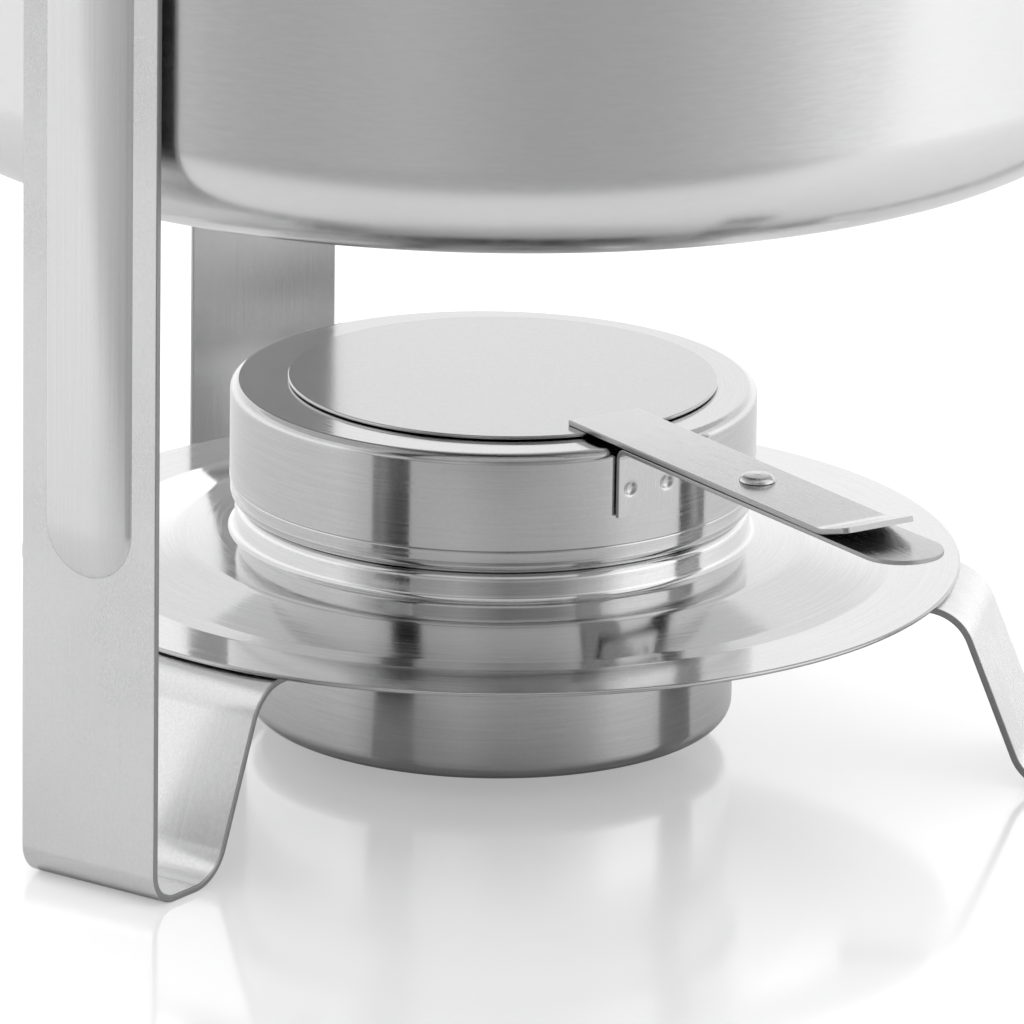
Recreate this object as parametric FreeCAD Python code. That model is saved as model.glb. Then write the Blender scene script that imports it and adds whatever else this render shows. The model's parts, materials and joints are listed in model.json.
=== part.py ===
"""Round roll top chafer: three-legged strip stand, fuel holder, water pan, food pan and two-part dome.

Millimetres, +Z up, -Y is the serving side. The origin is on the floor at the axis of the pans.
Sheet pieces are drawn as the line of one skin in a radial plane (distance from the axis, height), given their
thickness there, and revolved round the axis or extruded to a strip. Azimuth 0 is the serving side, and it
grows towards +X.
"""
import FreeCAD
import Part
import math
import os

Vec = FreeCAD.Vector
os.makedirs("parts", exist_ok=True)

# ---- driving dimensions -------------------------------------------------------------------------------
# Pans
pan_r = 138.2             # water pan, outside of the wall
pan_bottom_z = 140.2      # underside of the water pan above the floor
pan_depth = 87.3          # underside of the rim above the underside of the pan
pan_sheet = 1.0
pan_corner = 22.8         # outside radius between wall and bottom
rim_width = 7.3           # how far the rim stands out from the wall
rim_corner = 2.5
food_gap = 3.5            # between the two pans' walls
food_depth = 56.0
food_sheet = 0.8
food_corner = 16.0
food_rim_over = 1.0       # how far the food pan's rim passes the water pan's
food_lip_gap = 0.4        # from the food pan's turned-down lip to the collar
food_lip_corner = 1.0

# Carrier ring
ring_gap = 0.5            # between the water pan's wall and the ring
ring_sheet = 1.2
ring_height = 23.5        # of the band that the legs are welded to
ring_corner = 4.0
collar_over = 7.5         # how far the collar stands out past the front dome
collar_lip = 10.5
lip_corner = 3.0

# Legs
leg_angles = {"front_left": -58.0, "front_right": 58.0, "rear": 180.0}
leg_width = 34.8
leg_sheet = 1.5
leg_top_gap = 4.5         # from the top of the leg to the top of the collar
foot_heel = 7.0           # outside bend radius at the floor
foot_reach = 21.9         # from the leg's face to where the rising web would meet the floor
foot_toe = 11.0           # outside bend radius where the web rises
web_angle = 68.0          # of the rising web above the floor
web_bend = 10.0
tab_under = 21.0          # how far the tab reaches in under the shelf from its rim
trim_margin = 6.3         # from the trim's side to the leg's
trim_crown = 1.2
trim_edge = 0.5
trim_foot_z = 68.6        # lower end of the trim above the floor
trim_top_gap = 7.0        # from its upper end to the leg's top
leg_rivet_r = 1.6
leg_rivet_margin = 6.0    # from the leg's side
leg_rivet_drop = 5.0      # below the leg's top
leg_rivet_head_r = 3.0
leg_rivet_head_h = 1.0

# Burner shelf
shelf_r = 101.3
shelf_sheet = 1.0
shelf_rim_z = 40.8        # top of the flat outer band
shelf_band = 14.5         # width of the flat outer band
shelf_neck_z = 46.1       # where the dished part meets the upstand
shelf_upstand = 6.1
shelf_hole_gap = 0.6      # between the cup's wall and the hole's edge
shelf_upstand_in = 1.0    # how far the upstand is inside the cup's shoulder
shelf_hole_bend = 1.8
shelf_neck_bend = 1.6
dish_brow_share = 0.40    # where the dish starts to fall, as a share of the way from upstand to band
dish_brow_fall = 1.0      # how far it has fallen there
dish_brow_bend = 16.0
dish_toe_run = 4.0        # from the foot of its slope to the flat band
dish_toe_rise = 0.6
dish_toe_bend = 7.0
band_bend = 5.0

# Fuel holder
cup_r = 52.8
cup_bottom_z = 4.7
cup_sheet = 0.6
cup_corner = 4.0
shoulder_width = 4.0      # how far the shoulder stands out from the cup's wall
shoulder_height = 5.6
shoulder_bend = 2.9
shoulder_fillet = 0.5     # where the cup's wall meets the shoulder
shoulder_edge = 0.75
neck_step = 1.4
neck_height = 5.0
neck_fillet = 0.4
cover_over = 0.2          # how far the cover's skirt is outside the shoulder
cover_sheet = 0.8
cover_height = 21.0
cover_corner = 2.2
flame_hole_r = 36.0
flame_hole_lip = 3.0
flame_hole_bend = 1.3

# Snuffer and its bracket
arm_angle = 12.7
arm_width = 18.0
arm_plate_width = 15.7
arm_flare_from = 6.0      # from the cover's skirt to where the arm starts to widen
arm_flare_to = 25.0
arm_sheet = 1.0
arm_plate_height = 14.4   # of the plate welded to the cover, below the arm
arm_bend = 2.6
arm_reach = 98.3          # from the cover's skirt to the arm's end
arm_end_corner = 8.5
weld_dot_share = 0.42     # height of the dots up the plate
weld_dot_r = 1.3
weld_dot_depth = 0.5
weld_dot_pitch = 9.4
rivet_reach = 39.7        # from the cover's skirt
rivet_shank_r = 2.0
rivet_head_r = 3.9
rivet_head_h = 1.5
rivet_slip = 0.05
rivet_washer_r = 5.0
rivet_washer_t = 0.4
arm_below_cover = 0.4     # from the cover's top down to the arm's underside
lever_skew = -1.1         # the lever's direction, counted from the arm's
lever_over_disc = 7.0    # how far the lever reaches in over the disc
lever_outer = 35.0        # from the rivet to the lip's bend
lever_lip = 9.5
lever_lip_rise = 16.0     # degrees
lever_sheet = 1.2
lever_lip_bend = 14.0
lever_end_corner = 1.5
disc_over_hole = 10.5     # how far the disc covers the cover's top outside the flame hole
disc_sheet = 0.8
disc_off_axis = 2.1
disc_edge_round = 0.28
rivet_tail_r = 3.2
rivet_tail_h = 1.0

# Dome
pivot_rise = 22.5         # of the pivots above the collar
dome_room = 8.1           # from the food pan's rim to the rear shell, at the collar
dome_sheet = 1.0
dome_gap = 4.0            # between the two shells
dome_seat_gap = 3.0       # from the collar to the front shell's plain edge
front_overlap = 5.0       # degrees that the front shell passes the top
rear_overlap = 4.0        # degrees that the rear shell passes the top, underneath
ear_r = 18.0
bead_r = 1.4
bead_up_share = 0.6       # from the shell's lower edge to the middle of its bead, of the bead's radius
bead_end = 18.9           # how far in front of the pivots the bead ends

# Pivots
pin_r = 3.0
pin_slip = 0.05
pin_head_r = 6.5
pin_head_h = 3.0
spacer_r = 7.0
washer_r = 8.0
end_play = 0.35
pivot_plate_width = 32.0
pivot_plate_sheet = 1.5
knob_r = 13.0
knob_length = 12.0
knob_waist_r = 8.1
knob_waist_h = 2.2
knob_swell = ((0.723, 3.0), (0.931, 4.2), (1.0, 5.6))   # share of the knob's radius, height above its foot
knob_crown_from = 7.4
knob_face_r = 4.6
knob_bore = 8.4
plate_rivet_pitch = 18.0
plate_rivet_r = 2.0
plate_rivet_head_r = 3.6
plate_rivet_head_h = 1.3
plate_rivet_tail = 0.6
plate_rivet_tail_r = 2.8
plate_rivet_drop = 5.85   # below the collar's top

# Clips that hold the rear shell down
clip_angles = (128.0, 180.0, 232.0)
clip_width = 16.0
clip_sheet = 1.2
clip_height = 12.0
clip_gap = 1.0            # from the food pan's rim to the clip's foot
clip_screw_r = 2.0
clip_head_r = 2.8
clip_head_h = 1.9
clip_nut_r = 3.8
clip_nut_h = 3.2

# Bumpers under the front shell
bumper_angles = (-42.0, 0.0, 42.0)
bumper_length = 14.0
bumper_width = 5.0
bumper_gap = 0.2

# Handle on the front shell
handle_tilt = 17.0        # degrees above the level of the pivots
handle_span = 104.0
handle_bar_r = 5.0
handle_stand = 36.0       # from the shell to the middle of the bar
handle_bend = 15.0
ferrule_r = 9.0
ferrule_height = 4.5
handle_screw_r = 2.2
handle_screw_head_r = 4.5
handle_screw_head_h = 1.8
handle_screw_depth = 14.0
ferrule_round = 1.6

# ---- places worked out from them ----------------------------------------------------------------------
collar_z = pan_bottom_z + pan_depth                 # top of the collar, where the water pan's rim rests
band_in_r = pan_r + ring_gap
band_out_r = band_in_r + ring_sheet
leg_face_r = band_out_r + leg_sheet
leg_top_z = collar_z - leg_top_gap
leg_rivet_side = leg_width / 2 - leg_rivet_margin
trim_width = leg_width - 2 * trim_margin
rim_r = pan_r + rim_width
shelf_under_z = shelf_rim_z - shelf_sheet
upstand_top_z = shelf_neck_z + shelf_upstand
shoulder_r = cup_r + shoulder_width
shoulder_top_z = upstand_top_z + shoulder_height
neck_r = shoulder_r - neck_step
cover_r = shoulder_r + cover_over
cover_top_z = shoulder_top_z + cover_height
arm_under_z = cover_top_z - arm_below_cover
lever_under_z = arm_under_z + arm_sheet + rivet_washer_t
arm_end_r = cover_r + arm_reach
rivet_at = cover_r + rivet_reach
disc_r = flame_hole_r + disc_over_hole
lever_inner = rivet_at - disc_r + lever_over_disc
food_edge_r = rim_r + food_rim_over + food_sheet
dome_foot_r = food_edge_r + dome_room
pivot_z = collar_z + pivot_rise
rear_r = math.hypot(dome_foot_r, pivot_rise)        # inside of the fixed rear shell
rear_out_r = rear_r + dome_sheet
front_r = rear_out_r + dome_gap
front_out_r = front_r + dome_sheet
collar_r = front_out_r + collar_over
dome_edge_z = collar_z + dome_seat_gap
bead_z = dome_edge_z + bead_up_share * bead_r
PIVOT = Vec(0, 0, pivot_z)


# ---- drawing tools ------------------------------------------------------------------------------------
def unit(ax, ay):
    """Unit vector of a plane direction."""
    size = math.hypot(ax, ay)
    return ax / size, ay / size


def rounded_line(points, radii):
    """Edges of a line through (distance from axis, height) points, with an arc at each inner point."""
    edges = []
    here = points[0]
    for i in range(1, len(points) - 1):
        bx, by = points[i]
        ux, uy = unit(bx - points[i - 1][0], by - points[i - 1][1])
        vx, vy = unit(points[i + 1][0] - bx, points[i + 1][1] - by)
        turn = math.atan2(ux * vy - uy * vx, ux * vx + uy * vy)
        radius = radii[i - 1]
        if radius <= 1e-6 or abs(turn) < 1e-6:
            edges.append(line(here, (bx, by)))
            here = (bx, by)
            continue
        back = radius * math.tan(abs(turn) / 2)
        start = (bx - ux * back, by - uy * back)
        end = (bx + vx * back, by + vy * back)
        side = math.copysign(1.0, turn)
        centre = (start[0] - uy * radius * side, start[1] + ux * radius * side)
        mx, my = unit(bx - centre[0], by - centre[1])
        middle = (centre[0] + mx * radius, centre[1] + my * radius)
        if math.hypot(start[0] - here[0], start[1] - here[1]) > 1e-6:
            edges.append(line(here, start))
        edges.append(Part.Arc(flat(start), flat(middle), flat(end)).toShape())
        here = end
    edges.append(line(here, points[-1]))
    return edges


def flat(point):
    """A point of the radial plane at azimuth 0, which runs along -Y."""
    return Vec(0, -point[0], point[1])


def line(a, b):
    return Part.LineSegment(flat(a), flat(b)).toShape()


def beside(points, radii, shift):
    """The same line moved shift to its right, with the radii that keep it parallel."""
    moved = []
    for i, (px, py) in enumerate(points):
        if i == 0:
            ux, uy = unit(points[1][0] - px, points[1][1] - py)
            moved.append((px + uy * shift, py - ux * shift))
            continue
        ux, uy = unit(px - points[i - 1][0], py - points[i - 1][1])
        if i == len(points) - 1:
            moved.append((px + uy * shift, py - ux * shift))
            continue
        vx, vy = unit(points[i + 1][0] - px, points[i + 1][1] - py)
        half = math.atan2(ux * vy - uy * vx, ux * vx + uy * vy) / 2
        nx, ny = unit(uy + vy, -ux - vx)
        reach = shift / math.cos(half)
        moved.append((px + nx * reach, py + ny * reach))
    new_radii = []
    for i, radius in enumerate(radii, start=1):
        ux, uy = unit(points[i][0] - points[i - 1][0], points[i][1] - points[i - 1][1])
        vx, vy = unit(points[i + 1][0] - points[i][0], points[i + 1][1] - points[i][1])
        left_turn = ux * vy - uy * vx > 0
        new_radii.append(radius + shift if left_turn else radius - shift)
    return moved, new_radii


def sheet_face(points, radii, right):
    """Section of a bent sheet with one skin through points, to its right, or left if right is negative."""
    other, other_radii = beside(points, radii, right)
    skin = rounded_line(points, radii)
    back = rounded_line(other, other_radii)
    caps = [line(points[0], other[0])]
    if math.hypot(points[-1][0] - other[-1][0], points[-1][1] - other[-1][1]) > 1e-6:
        caps.append(line(points[-1], other[-1]))
    return Part.Face(Part.Wire(Part.__sortEdges__(skin + back + caps)))


def revolved(face):
    return face.revolve(Vec(0, 0, 0), Vec(0, 0, 1), 360)


def strip(face, width):
    """A section of the radial plane made a strip of that width, half each side of the plane."""
    solid = face.extrude(Vec(width, 0, 0))
    solid.translate(Vec(-width / 2, 0, 0))
    return solid


def turned(shape, azimuth):
    """The shape turned round the axis from azimuth 0."""
    copy = shape.copy()
    copy.rotate(Vec(0, 0, 0), Vec(0, 0, 1), azimuth)
    return copy


def direction(azimuth):
    a = math.radians(azimuth)
    return Vec(math.sin(a), -math.cos(a), 0)


def turning(profile, base, axis):
    """Solid of revolution from (radius, height along axis) points that start and end on the axis at base."""
    wire = Part.makePolygon([Vec(r, 0, h) for r, h in profile] + [Vec(profile[0][0], 0, profile[0][1])])
    solid = Part.Face(wire).revolve(Vec(0, 0, 0), Vec(0, 0, 1), 360)
    solid.Placement = FreeCAD.Placement(base, FreeCAD.Rotation(Vec(0, 0, 1), axis))
    return solid


def tube(outer, inner, length, base, axis):
    return Part.makeCylinder(outer, length, base, axis).cut(Part.makeCylinder(inner, length, base, axis))


def button(radius, height, base, axis, steps=8):
    """A low dome: a segment of a ball on a flat base."""
    ball = (radius * radius + height * height) / (2 * height)
    rise = math.asin(radius / ball)
    points = [(ball * math.sin(rise * (1 - i / steps)),
               ball * math.cos(rise * (1 - i / steps)) - ball + height) for i in range(steps + 1)]
    return turning([(0, 0)] + points[:-1] + [(0, height)], base, axis)


def save(name, shape):
    solid = shape if isinstance(shape, (Part.Compound, Part.Solid)) else Part.makeCompound([shape])
    bodies = solid.Solids
    result = bodies[0] if len(bodies) == 1 else Part.makeCompound(bodies)
    result.exportStep(f"parts/{name}.step")


# ---- stand --------------------------------------------------------------------------------------------
def leg_rivet_hole(side):
    """Bore of one rivet that joins a leg at azimuth 0 to the ring's band."""
    base = Vec(side * leg_rivet_side, 10 - leg_face_r, leg_top_z - leg_rivet_drop)
    return Part.makeCylinder(leg_rivet_r, 20, base, Vec(0, -1, 0))


def make_leg():
    """One strip: down the outside, round under the foot, up the web and in to a tab under the shelf."""
    slope = math.tan(math.radians(web_angle))
    tab_under_z = shelf_under_z - leg_sheet
    web_top_r = leg_face_r - foot_reach - tab_under_z / slope
    skin = [
        (leg_face_r, leg_top_z),
        (leg_face_r, 0.0),
        (leg_face_r - foot_reach, 0.0),
        (web_top_r, tab_under_z),
        (shelf_r - tab_under, tab_under_z),
    ]
    leg = strip(sheet_face(skin, [foot_heel, foot_toe, web_bend], leg_sheet), leg_width)
    return leg.cut(leg_rivet_hole(-1)).cut(leg_rivet_hole(1))


def make_leg_rivets():
    """Two rivets to a leg, flush inside the band so that the pan passes, with low domed heads outside."""
    solids = []
    inside = math.sqrt(band_in_r ** 2 - (leg_rivet_side - leg_rivet_r) ** 2)
    for azimuth in leg_angles.values():
        for side in (-1, 1):
            base = Vec(side * leg_rivet_side, -inside, leg_top_z - leg_rivet_drop)
            shank = Part.makeCylinder(leg_rivet_r, leg_face_r - inside, base, Vec(0, -1, 0))
            face = Vec(base.x, -leg_face_r, base.z)
            head = button(leg_rivet_head_r, leg_rivet_head_h, face, Vec(0, -1, 0))
            solids.append(turned(shank.fuse(head).removeSplitter(), azimuth))
    return Part.makeCompound(solids)


def make_trim():
    """Raised trim down the middle of a leg: a slot-shaped outline under a shallow crown."""
    half = trim_width / 2
    low = trim_foot_z
    high = leg_top_z - trim_top_gap
    height = trim_crown + trim_edge
    front = -leg_face_r - height
    block = Part.makeBox(trim_width, height, high - low - trim_width, Vec(-half, front, low + half))
    for z in (low + half, high - half):
        block = block.fuse(Part.makeCylinder(half, height, Vec(0, -leg_face_r, z), Vec(0, -1, 0)))
    crown_r = (half * half + trim_crown * trim_crown) / (2 * trim_crown)
    crown = Part.makeCylinder(crown_r, high - low + 2, Vec(0, front + crown_r, low - 1), Vec(0, 0, 1))
    return block.removeSplitter().common(crown)


def make_carrier_ring():
    """The band that holds the water pan and its collar, one angle-section ring with a turned-down lip."""
    skin = [
        (band_in_r, collar_z - ring_height),
        (band_in_r, collar_z),
        (collar_r, collar_z),
        (collar_r, collar_z - collar_lip),
    ]
    ring = revolved(sheet_face(skin, [ring_corner, lip_corner], ring_sheet))
    for angle in clip_angles:
        hole = Part.makeCylinder(clip_screw_r, 10, Vec(0, -clip_bolt_r(), collar_z - 5), Vec(0, 0, 1))
        ring = ring.cut(turned(hole, angle))
    for angle in leg_angles.values():
        for side in (-1, 1):
            ring = ring.cut(turned(leg_rivet_hole(side), angle))
    for side in (-1, 1):
        for rivet in plate_rivet_places(side):
            ring = ring.cut(Part.makeCylinder(plate_rivet_r, 12, rivet[0] - rivet[1] * 8, rivet[1]))
    return ring


def make_shelf():
    """Dished ring under the fuel holder, with an upstand round its hole."""
    upstand_r = shoulder_r - shelf_upstand_in
    band_start = shelf_r - shelf_band
    skin = [
        (cup_r + shelf_hole_gap, upstand_top_z),
        (upstand_r, upstand_top_z),
        (upstand_r, shelf_neck_z),
        (upstand_r + dish_brow_share * (band_start - upstand_r), shelf_neck_z - dish_brow_fall),
        (band_start - dish_toe_run, shelf_rim_z + dish_toe_rise),
        (band_start, shelf_rim_z),
        (shelf_r, shelf_rim_z),
    ]
    radii = [shelf_hole_bend, shelf_neck_bend, dish_brow_bend, dish_toe_bend, band_bend]
    return revolved(sheet_face(skin, radii, shelf_sheet))


# ---- fuel holder --------------------------------------------------------------------------------------
def make_cup():
    skin = [
        (0.0, cup_bottom_z),
        (cup_r, cup_bottom_z),
        (cup_r, upstand_top_z),
        (shoulder_r, upstand_top_z),
        (shoulder_r, shoulder_top_z),
        (neck_r, shoulder_top_z),
        (neck_r, shoulder_top_z + neck_height),
    ]
    radii = [cup_corner, shoulder_fillet, shoulder_bend, shoulder_edge, neck_fillet]
    return revolved(sheet_face(skin, radii, -cup_sheet))


def make_cover():
    """Skirt and flat top of the burner cover, with the flame hole."""
    skin = [
        (cover_r, shoulder_top_z),
        (cover_r, cover_top_z),
        (flame_hole_r, cover_top_z),
        (flame_hole_r, cover_top_z - flame_hole_lip),
    ]
    return revolved(sheet_face(skin, [cover_corner, flame_hole_bend], -cover_sheet))


def flared_outline(stations, corner, z, height):
    """Flat bar at azimuth 0 through (reach, width) stations, with its two outer corners rounded."""
    end = stations[-1][0]
    right = [Vec(width / 2, -reach, z) for reach, width in stations]
    left = [Vec(-width / 2, -reach, z) for reach, width in reversed(stations)]
    bar = Part.Face(Part.makePolygon(right + left + right[:1])).extrude(Vec(0, 0, height))
    ends = [e for e in bar.Edges if all(abs(v.Point.y + end) < 1e-6 for v in e.Vertexes)
            and abs(e.Vertexes[0].Point.z - e.Vertexes[1].Point.z) > 1e-6]
    return bar.makeFillet(corner, ends)


def make_bracket():
    """Plate welded to the cover, bent out into the fixed grip, with two weld dots and the rivet's hole."""
    arm_top_z = arm_under_z + arm_sheet
    skin = [
        (cover_r, arm_under_z - arm_plate_height),
        (cover_r, arm_top_z),
        (arm_end_r, arm_top_z),
    ]
    bar = strip(sheet_face(skin, [arm_bend], arm_sheet), arm_width)
    stations = [
        (cover_r - 1, arm_plate_width),
        (cover_r + arm_flare_from, arm_plate_width),
        (cover_r + arm_flare_to, arm_width),
        (arm_end_r, arm_width),
    ]
    outline = flared_outline(stations, arm_end_corner, 0, arm_top_z + 10)
    bar = bar.common(outline)
    for side in (-1, 1):
        centre = Vec(side * weld_dot_pitch / 2, -(cover_r + arm_sheet + weld_dot_r - weld_dot_depth),
                     arm_under_z - arm_plate_height * (1 - weld_dot_share))
        bar = bar.cut(Part.makeSphere(weld_dot_r, centre))
    bar = bar.cut(Part.makeCylinder(rivet_shank_r, 20, Vec(0, -rivet_at, arm_under_z - 5), Vec(0, 0, 1)))
    return turned(bar, arm_angle)


def rivet_point(z):
    return direction(arm_angle) * rivet_at + Vec(0, 0, z)


def make_lever():
    """The swinging upper grip, its outer end curled up and its inner end over the disc."""
    rise = math.radians(lever_lip_rise)
    skin = [
        (-lever_inner, lever_under_z),
        (lever_outer, lever_under_z),
        (lever_outer + lever_lip * math.cos(rise), lever_under_z + lever_lip * math.sin(rise)),
    ]
    bar = strip(sheet_face(skin, [lever_lip_bend], -lever_sheet), arm_width)
    reach = lever_outer + lever_lip * math.cos(rise)
    stations = [(-lever_inner - 1, arm_width), (reach, arm_width)]
    bar = bar.common(flared_outline(stations, lever_end_corner, lever_under_z - 5, 20))
    bar = bar.cut(Part.makeCylinder(rivet_shank_r + rivet_slip, 20, Vec(0, 0, lever_under_z - 5)))
    bar.rotate(Vec(0, 0, 0), Vec(0, 0, 1), arm_angle + lever_skew)
    bar.translate(direction(arm_angle) * rivet_at)
    return bar


def make_disc():
    disc = Part.makeCylinder(disc_r, disc_sheet, Vec(0, 0, lever_under_z - disc_sheet))
    rim = [e for e in disc.Edges if len(e.Vertexes) == 1]
    disc = disc.makeFillet(disc_edge_round, rim)
    disc.translate(Vec(disc_off_axis, 0, 0))
    return disc


def make_rivet():
    """Rivet of the lever: domed head over the lever, shank, and a flat tail under the arm."""
    lever_top = lever_under_z + lever_sheet
    shank_low = arm_under_z - rivet_tail_h
    shank = Part.makeCylinder(rivet_shank_r, lever_top + rivet_slip - shank_low, rivet_point(shank_low))
    head = button(rivet_head_r, rivet_head_h, rivet_point(lever_top + rivet_slip), Vec(0, 0, 1))
    tail = Part.makeCylinder(rivet_tail_r, rivet_tail_h, rivet_point(shank_low))
    return shank.fuse([head, tail]).removeSplitter()


def make_rivet_washer():
    base = rivet_point(arm_under_z + arm_sheet)
    return tube(rivet_washer_r, rivet_shank_r, rivet_washer_t, base, Vec(0, 0, 1))


# ---- pans ---------------------------------------------------------------------------------------------
def make_water_pan():
    skin = [(0.0, pan_bottom_z), (pan_r, pan_bottom_z), (pan_r, collar_z), (rim_r, collar_z)]
    return revolved(sheet_face(skin, [pan_corner, rim_corner], -pan_sheet))


def make_food_pan():
    wall = pan_r - pan_sheet - food_gap
    rim_under_z = collar_z + pan_sheet
    top_z = rim_under_z + food_sheet
    skin = [
        (0.0, rim_under_z - food_depth + food_sheet),
        (wall - food_sheet, rim_under_z - food_depth + food_sheet),
        (wall - food_sheet, top_z),
        (food_edge_r, top_z),
        (food_edge_r, collar_z + food_lip_gap),
    ]
    return revolved(sheet_face(skin, [food_corner - food_sheet, rim_corner, food_lip_corner], food_sheet))


# ---- dome ---------------------------------------------------------------------------------------------
def ball_shell(inner, hole_r):
    """Thin ball round the pivot axis with a hole of that radius at each pole."""
    outer = inner + dome_sheet

    def at(radius, share):
        edge = math.asin(hole_r / radius)
        angle = edge + (math.pi - 2 * edge) * share
        return Vec(radius * math.cos(angle), 0, radius * math.sin(angle))

    outside = Part.Arc(at(outer, 0), at(outer, 0.5), at(outer, 1)).toShape()
    inside = Part.Arc(at(inner, 0), at(inner, 0.5), at(inner, 1)).toShape()
    ends = [Part.LineSegment(at(outer, s), at(inner, s)).toShape() for s in (0, 1)]
    face = Part.Face(Part.Wire(Part.__sortEdges__([outside, inside] + ends)))
    ball = face.revolve(Vec(0, 0, 0), Vec(1, 0, 0), 360)
    ball.translate(PIVOT)
    return ball


def shell_region(front, low_z, overlap):
    """Space of one shell: its side of the dome above low_z, past the top by overlap degrees, and the ears."""
    size = 3 * front_out_r
    half = Part.makeBox(size, size, size, Vec(-size / 2, -size if front else 0, -size / 2))
    half.rotate(Vec(0, 0, 0), Vec(1, 0, 0), -overlap if front else overlap)
    half.translate(PIVOT)
    above = Part.makeBox(size, size, size, Vec(-size / 2, -size / 2, low_z))
    region = half.common(above)
    for side in (-1, 1):
        ear = Part.makeCylinder(ear_r, size / 2, PIVOT, Vec(side, 0, 0))
        region = region.fuse(ear)
    return region


def make_rear_dome():
    return ball_shell(rear_r, pin_r).common(shell_region(False, collar_z, rear_overlap))


def make_front_dome():
    """Rolling shell, with a rolled bead along its lower edge."""
    shell = ball_shell(front_r, pin_r + pin_slip).common(shell_region(True, dome_edge_z, front_overlap))
    bead_ring = math.sqrt(front_out_r ** 2 - (pivot_z - bead_z) ** 2)
    bead = Part.makeTorus(bead_ring, bead_r, Vec(0, 0, bead_z), Vec(0, 0, 1))
    size = 3 * front_out_r
    cut = Part.makeBox(2 * size, size, 40, Vec(-size, -bead_end, bead_z - 20))
    shell = shell.fuse(bead.cut(cut))
    for screw in handle_screw_places():
        shell = shell.cut(Part.makeCylinder(handle_screw_r, 30, screw[0] - screw[1] * 15, screw[1]))
    return shell


# ---- pivots -------------------------------------------------------------------------------------------
def plate_rivet_places(side):
    """Where the rivets of one pivot plate meet the lip, each with its outward direction."""
    z = collar_z - plate_rivet_drop
    places = []
    for shift in (-0.5, 0.5):
        a = side * 90.0 + math.degrees(shift * plate_rivet_pitch / collar_r)
        places.append((direction(a) * collar_r + Vec(0, 0, z), direction(a)))
    return places


def make_pivot_plate(side):
    """Upright that carries one pivot: a strip curved to the collar's lip, with a round top."""
    low_z = collar_z - collar_lip
    half = pivot_plate_width / 2
    wall_height = pivot_z + half + 5 - low_z
    wall = tube(collar_r + pivot_plate_sheet, collar_r, wall_height, Vec(0, 0, low_z), Vec(0, 0, 1))
    depth = 2 * pivot_plate_width
    base = collar_r - depth / 2
    blank = Part.makeBox(depth, pivot_plate_width, pivot_z - low_z, Vec(base, -half, low_z))
    blank = blank.fuse(Part.makeCylinder(half, depth, Vec(base, 0, pivot_z), Vec(1, 0, 0))).removeSplitter()
    if side < 0:
        blank.rotate(Vec(0, 0, 0), Vec(0, 0, 1), 180)
    plate = wall.common(blank)
    plate = plate.cut(Part.makeCylinder(pin_r, depth, PIVOT + Vec(side * base, 0, 0), Vec(side, 0, 0)))
    for place in plate_rivet_places(side):
        plate = plate.cut(Part.makeCylinder(plate_rivet_r, 12, place[0] - place[1] * 6, place[1]))
    return plate


def make_plate_rivets(side):
    """Rivets from the plate into the lip: a domed head outside and a flush-backed shank."""
    solids = []
    for base, out in plate_rivet_places(side):
        inside = ring_sheet + plate_rivet_tail
        shank = Part.makeCylinder(plate_rivet_r, pivot_plate_sheet + inside, base - out * inside, out)
        tail = Part.makeCylinder(plate_rivet_tail_r, plate_rivet_tail, base - out * (inside + 0.3), out)
        head = button(plate_rivet_head_r, plate_rivet_head_h, base + out * pivot_plate_sheet, out)
        solids.append(shank.fuse([tail, head]).removeSplitter())
    return Part.makeCompound(solids)


def make_pivot_pin(side):
    """Pin with a domed head inside the rear shell; the knob screws on its outer end."""
    out = Vec(side, 0, 0)
    head_at = rear_r - end_play - pin_head_r ** 2 / (2 * rear_r)
    end = collar_r + pivot_plate_sheet + knob_bore
    shank = Part.makeCylinder(pin_r, end - head_at, PIVOT + out * head_at, out)
    head = button(pin_head_r, pin_head_h, PIVOT + out * head_at, -out)
    return shank.fuse(head).removeSplitter()


def make_pivot_washer(side):
    """Plastic washer between the two shells."""
    out = Vec(side, 0, 0)
    start = rear_out_r + end_play
    fall = washer_r ** 2 / (2 * front_r)
    end = front_r - fall - end_play
    return tube(washer_r, pin_r, end - start, PIVOT + out * start, out)


def make_spacer(side):
    """Sleeve that keeps the front shell clear of the pivot plate."""
    out = Vec(side, 0, 0)
    start = front_out_r + end_play
    fall = spacer_r ** 2 / (2 * collar_r)
    return tube(spacer_r, pin_r, collar_r - fall - start, PIVOT + out * start, out)


def make_knob(side):
    """Turned cap that closes the pivot outside."""
    out = Vec(side, 0, 0)
    base = PIVOT + out * (collar_r + pivot_plate_sheet)
    profile = [(0, 0), (knob_waist_r, 0), (knob_waist_r, knob_waist_h)]
    profile += [(share * knob_r, height) for share, height in knob_swell]
    crown = 7
    for i in range(crown + 1):
        a = math.radians(90.0 * i / crown)
        profile.append((knob_face_r + (knob_r - knob_face_r) * math.cos(a),
                        knob_crown_from + (knob_length - knob_crown_from) * math.sin(a)))
    profile.append((0, knob_length))
    return turning(profile, base, out).cut(Part.makeCylinder(pin_r, knob_bore, base, out))


# ---- clips and bumpers --------------------------------------------------------------------------------
def clip_bolt_r():
    """How far from the axis the clip screws stand: midway between the food pan's rim and the clip's leaf."""
    return (food_edge_r + dome_foot_r - clip_sheet) / 2


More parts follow.
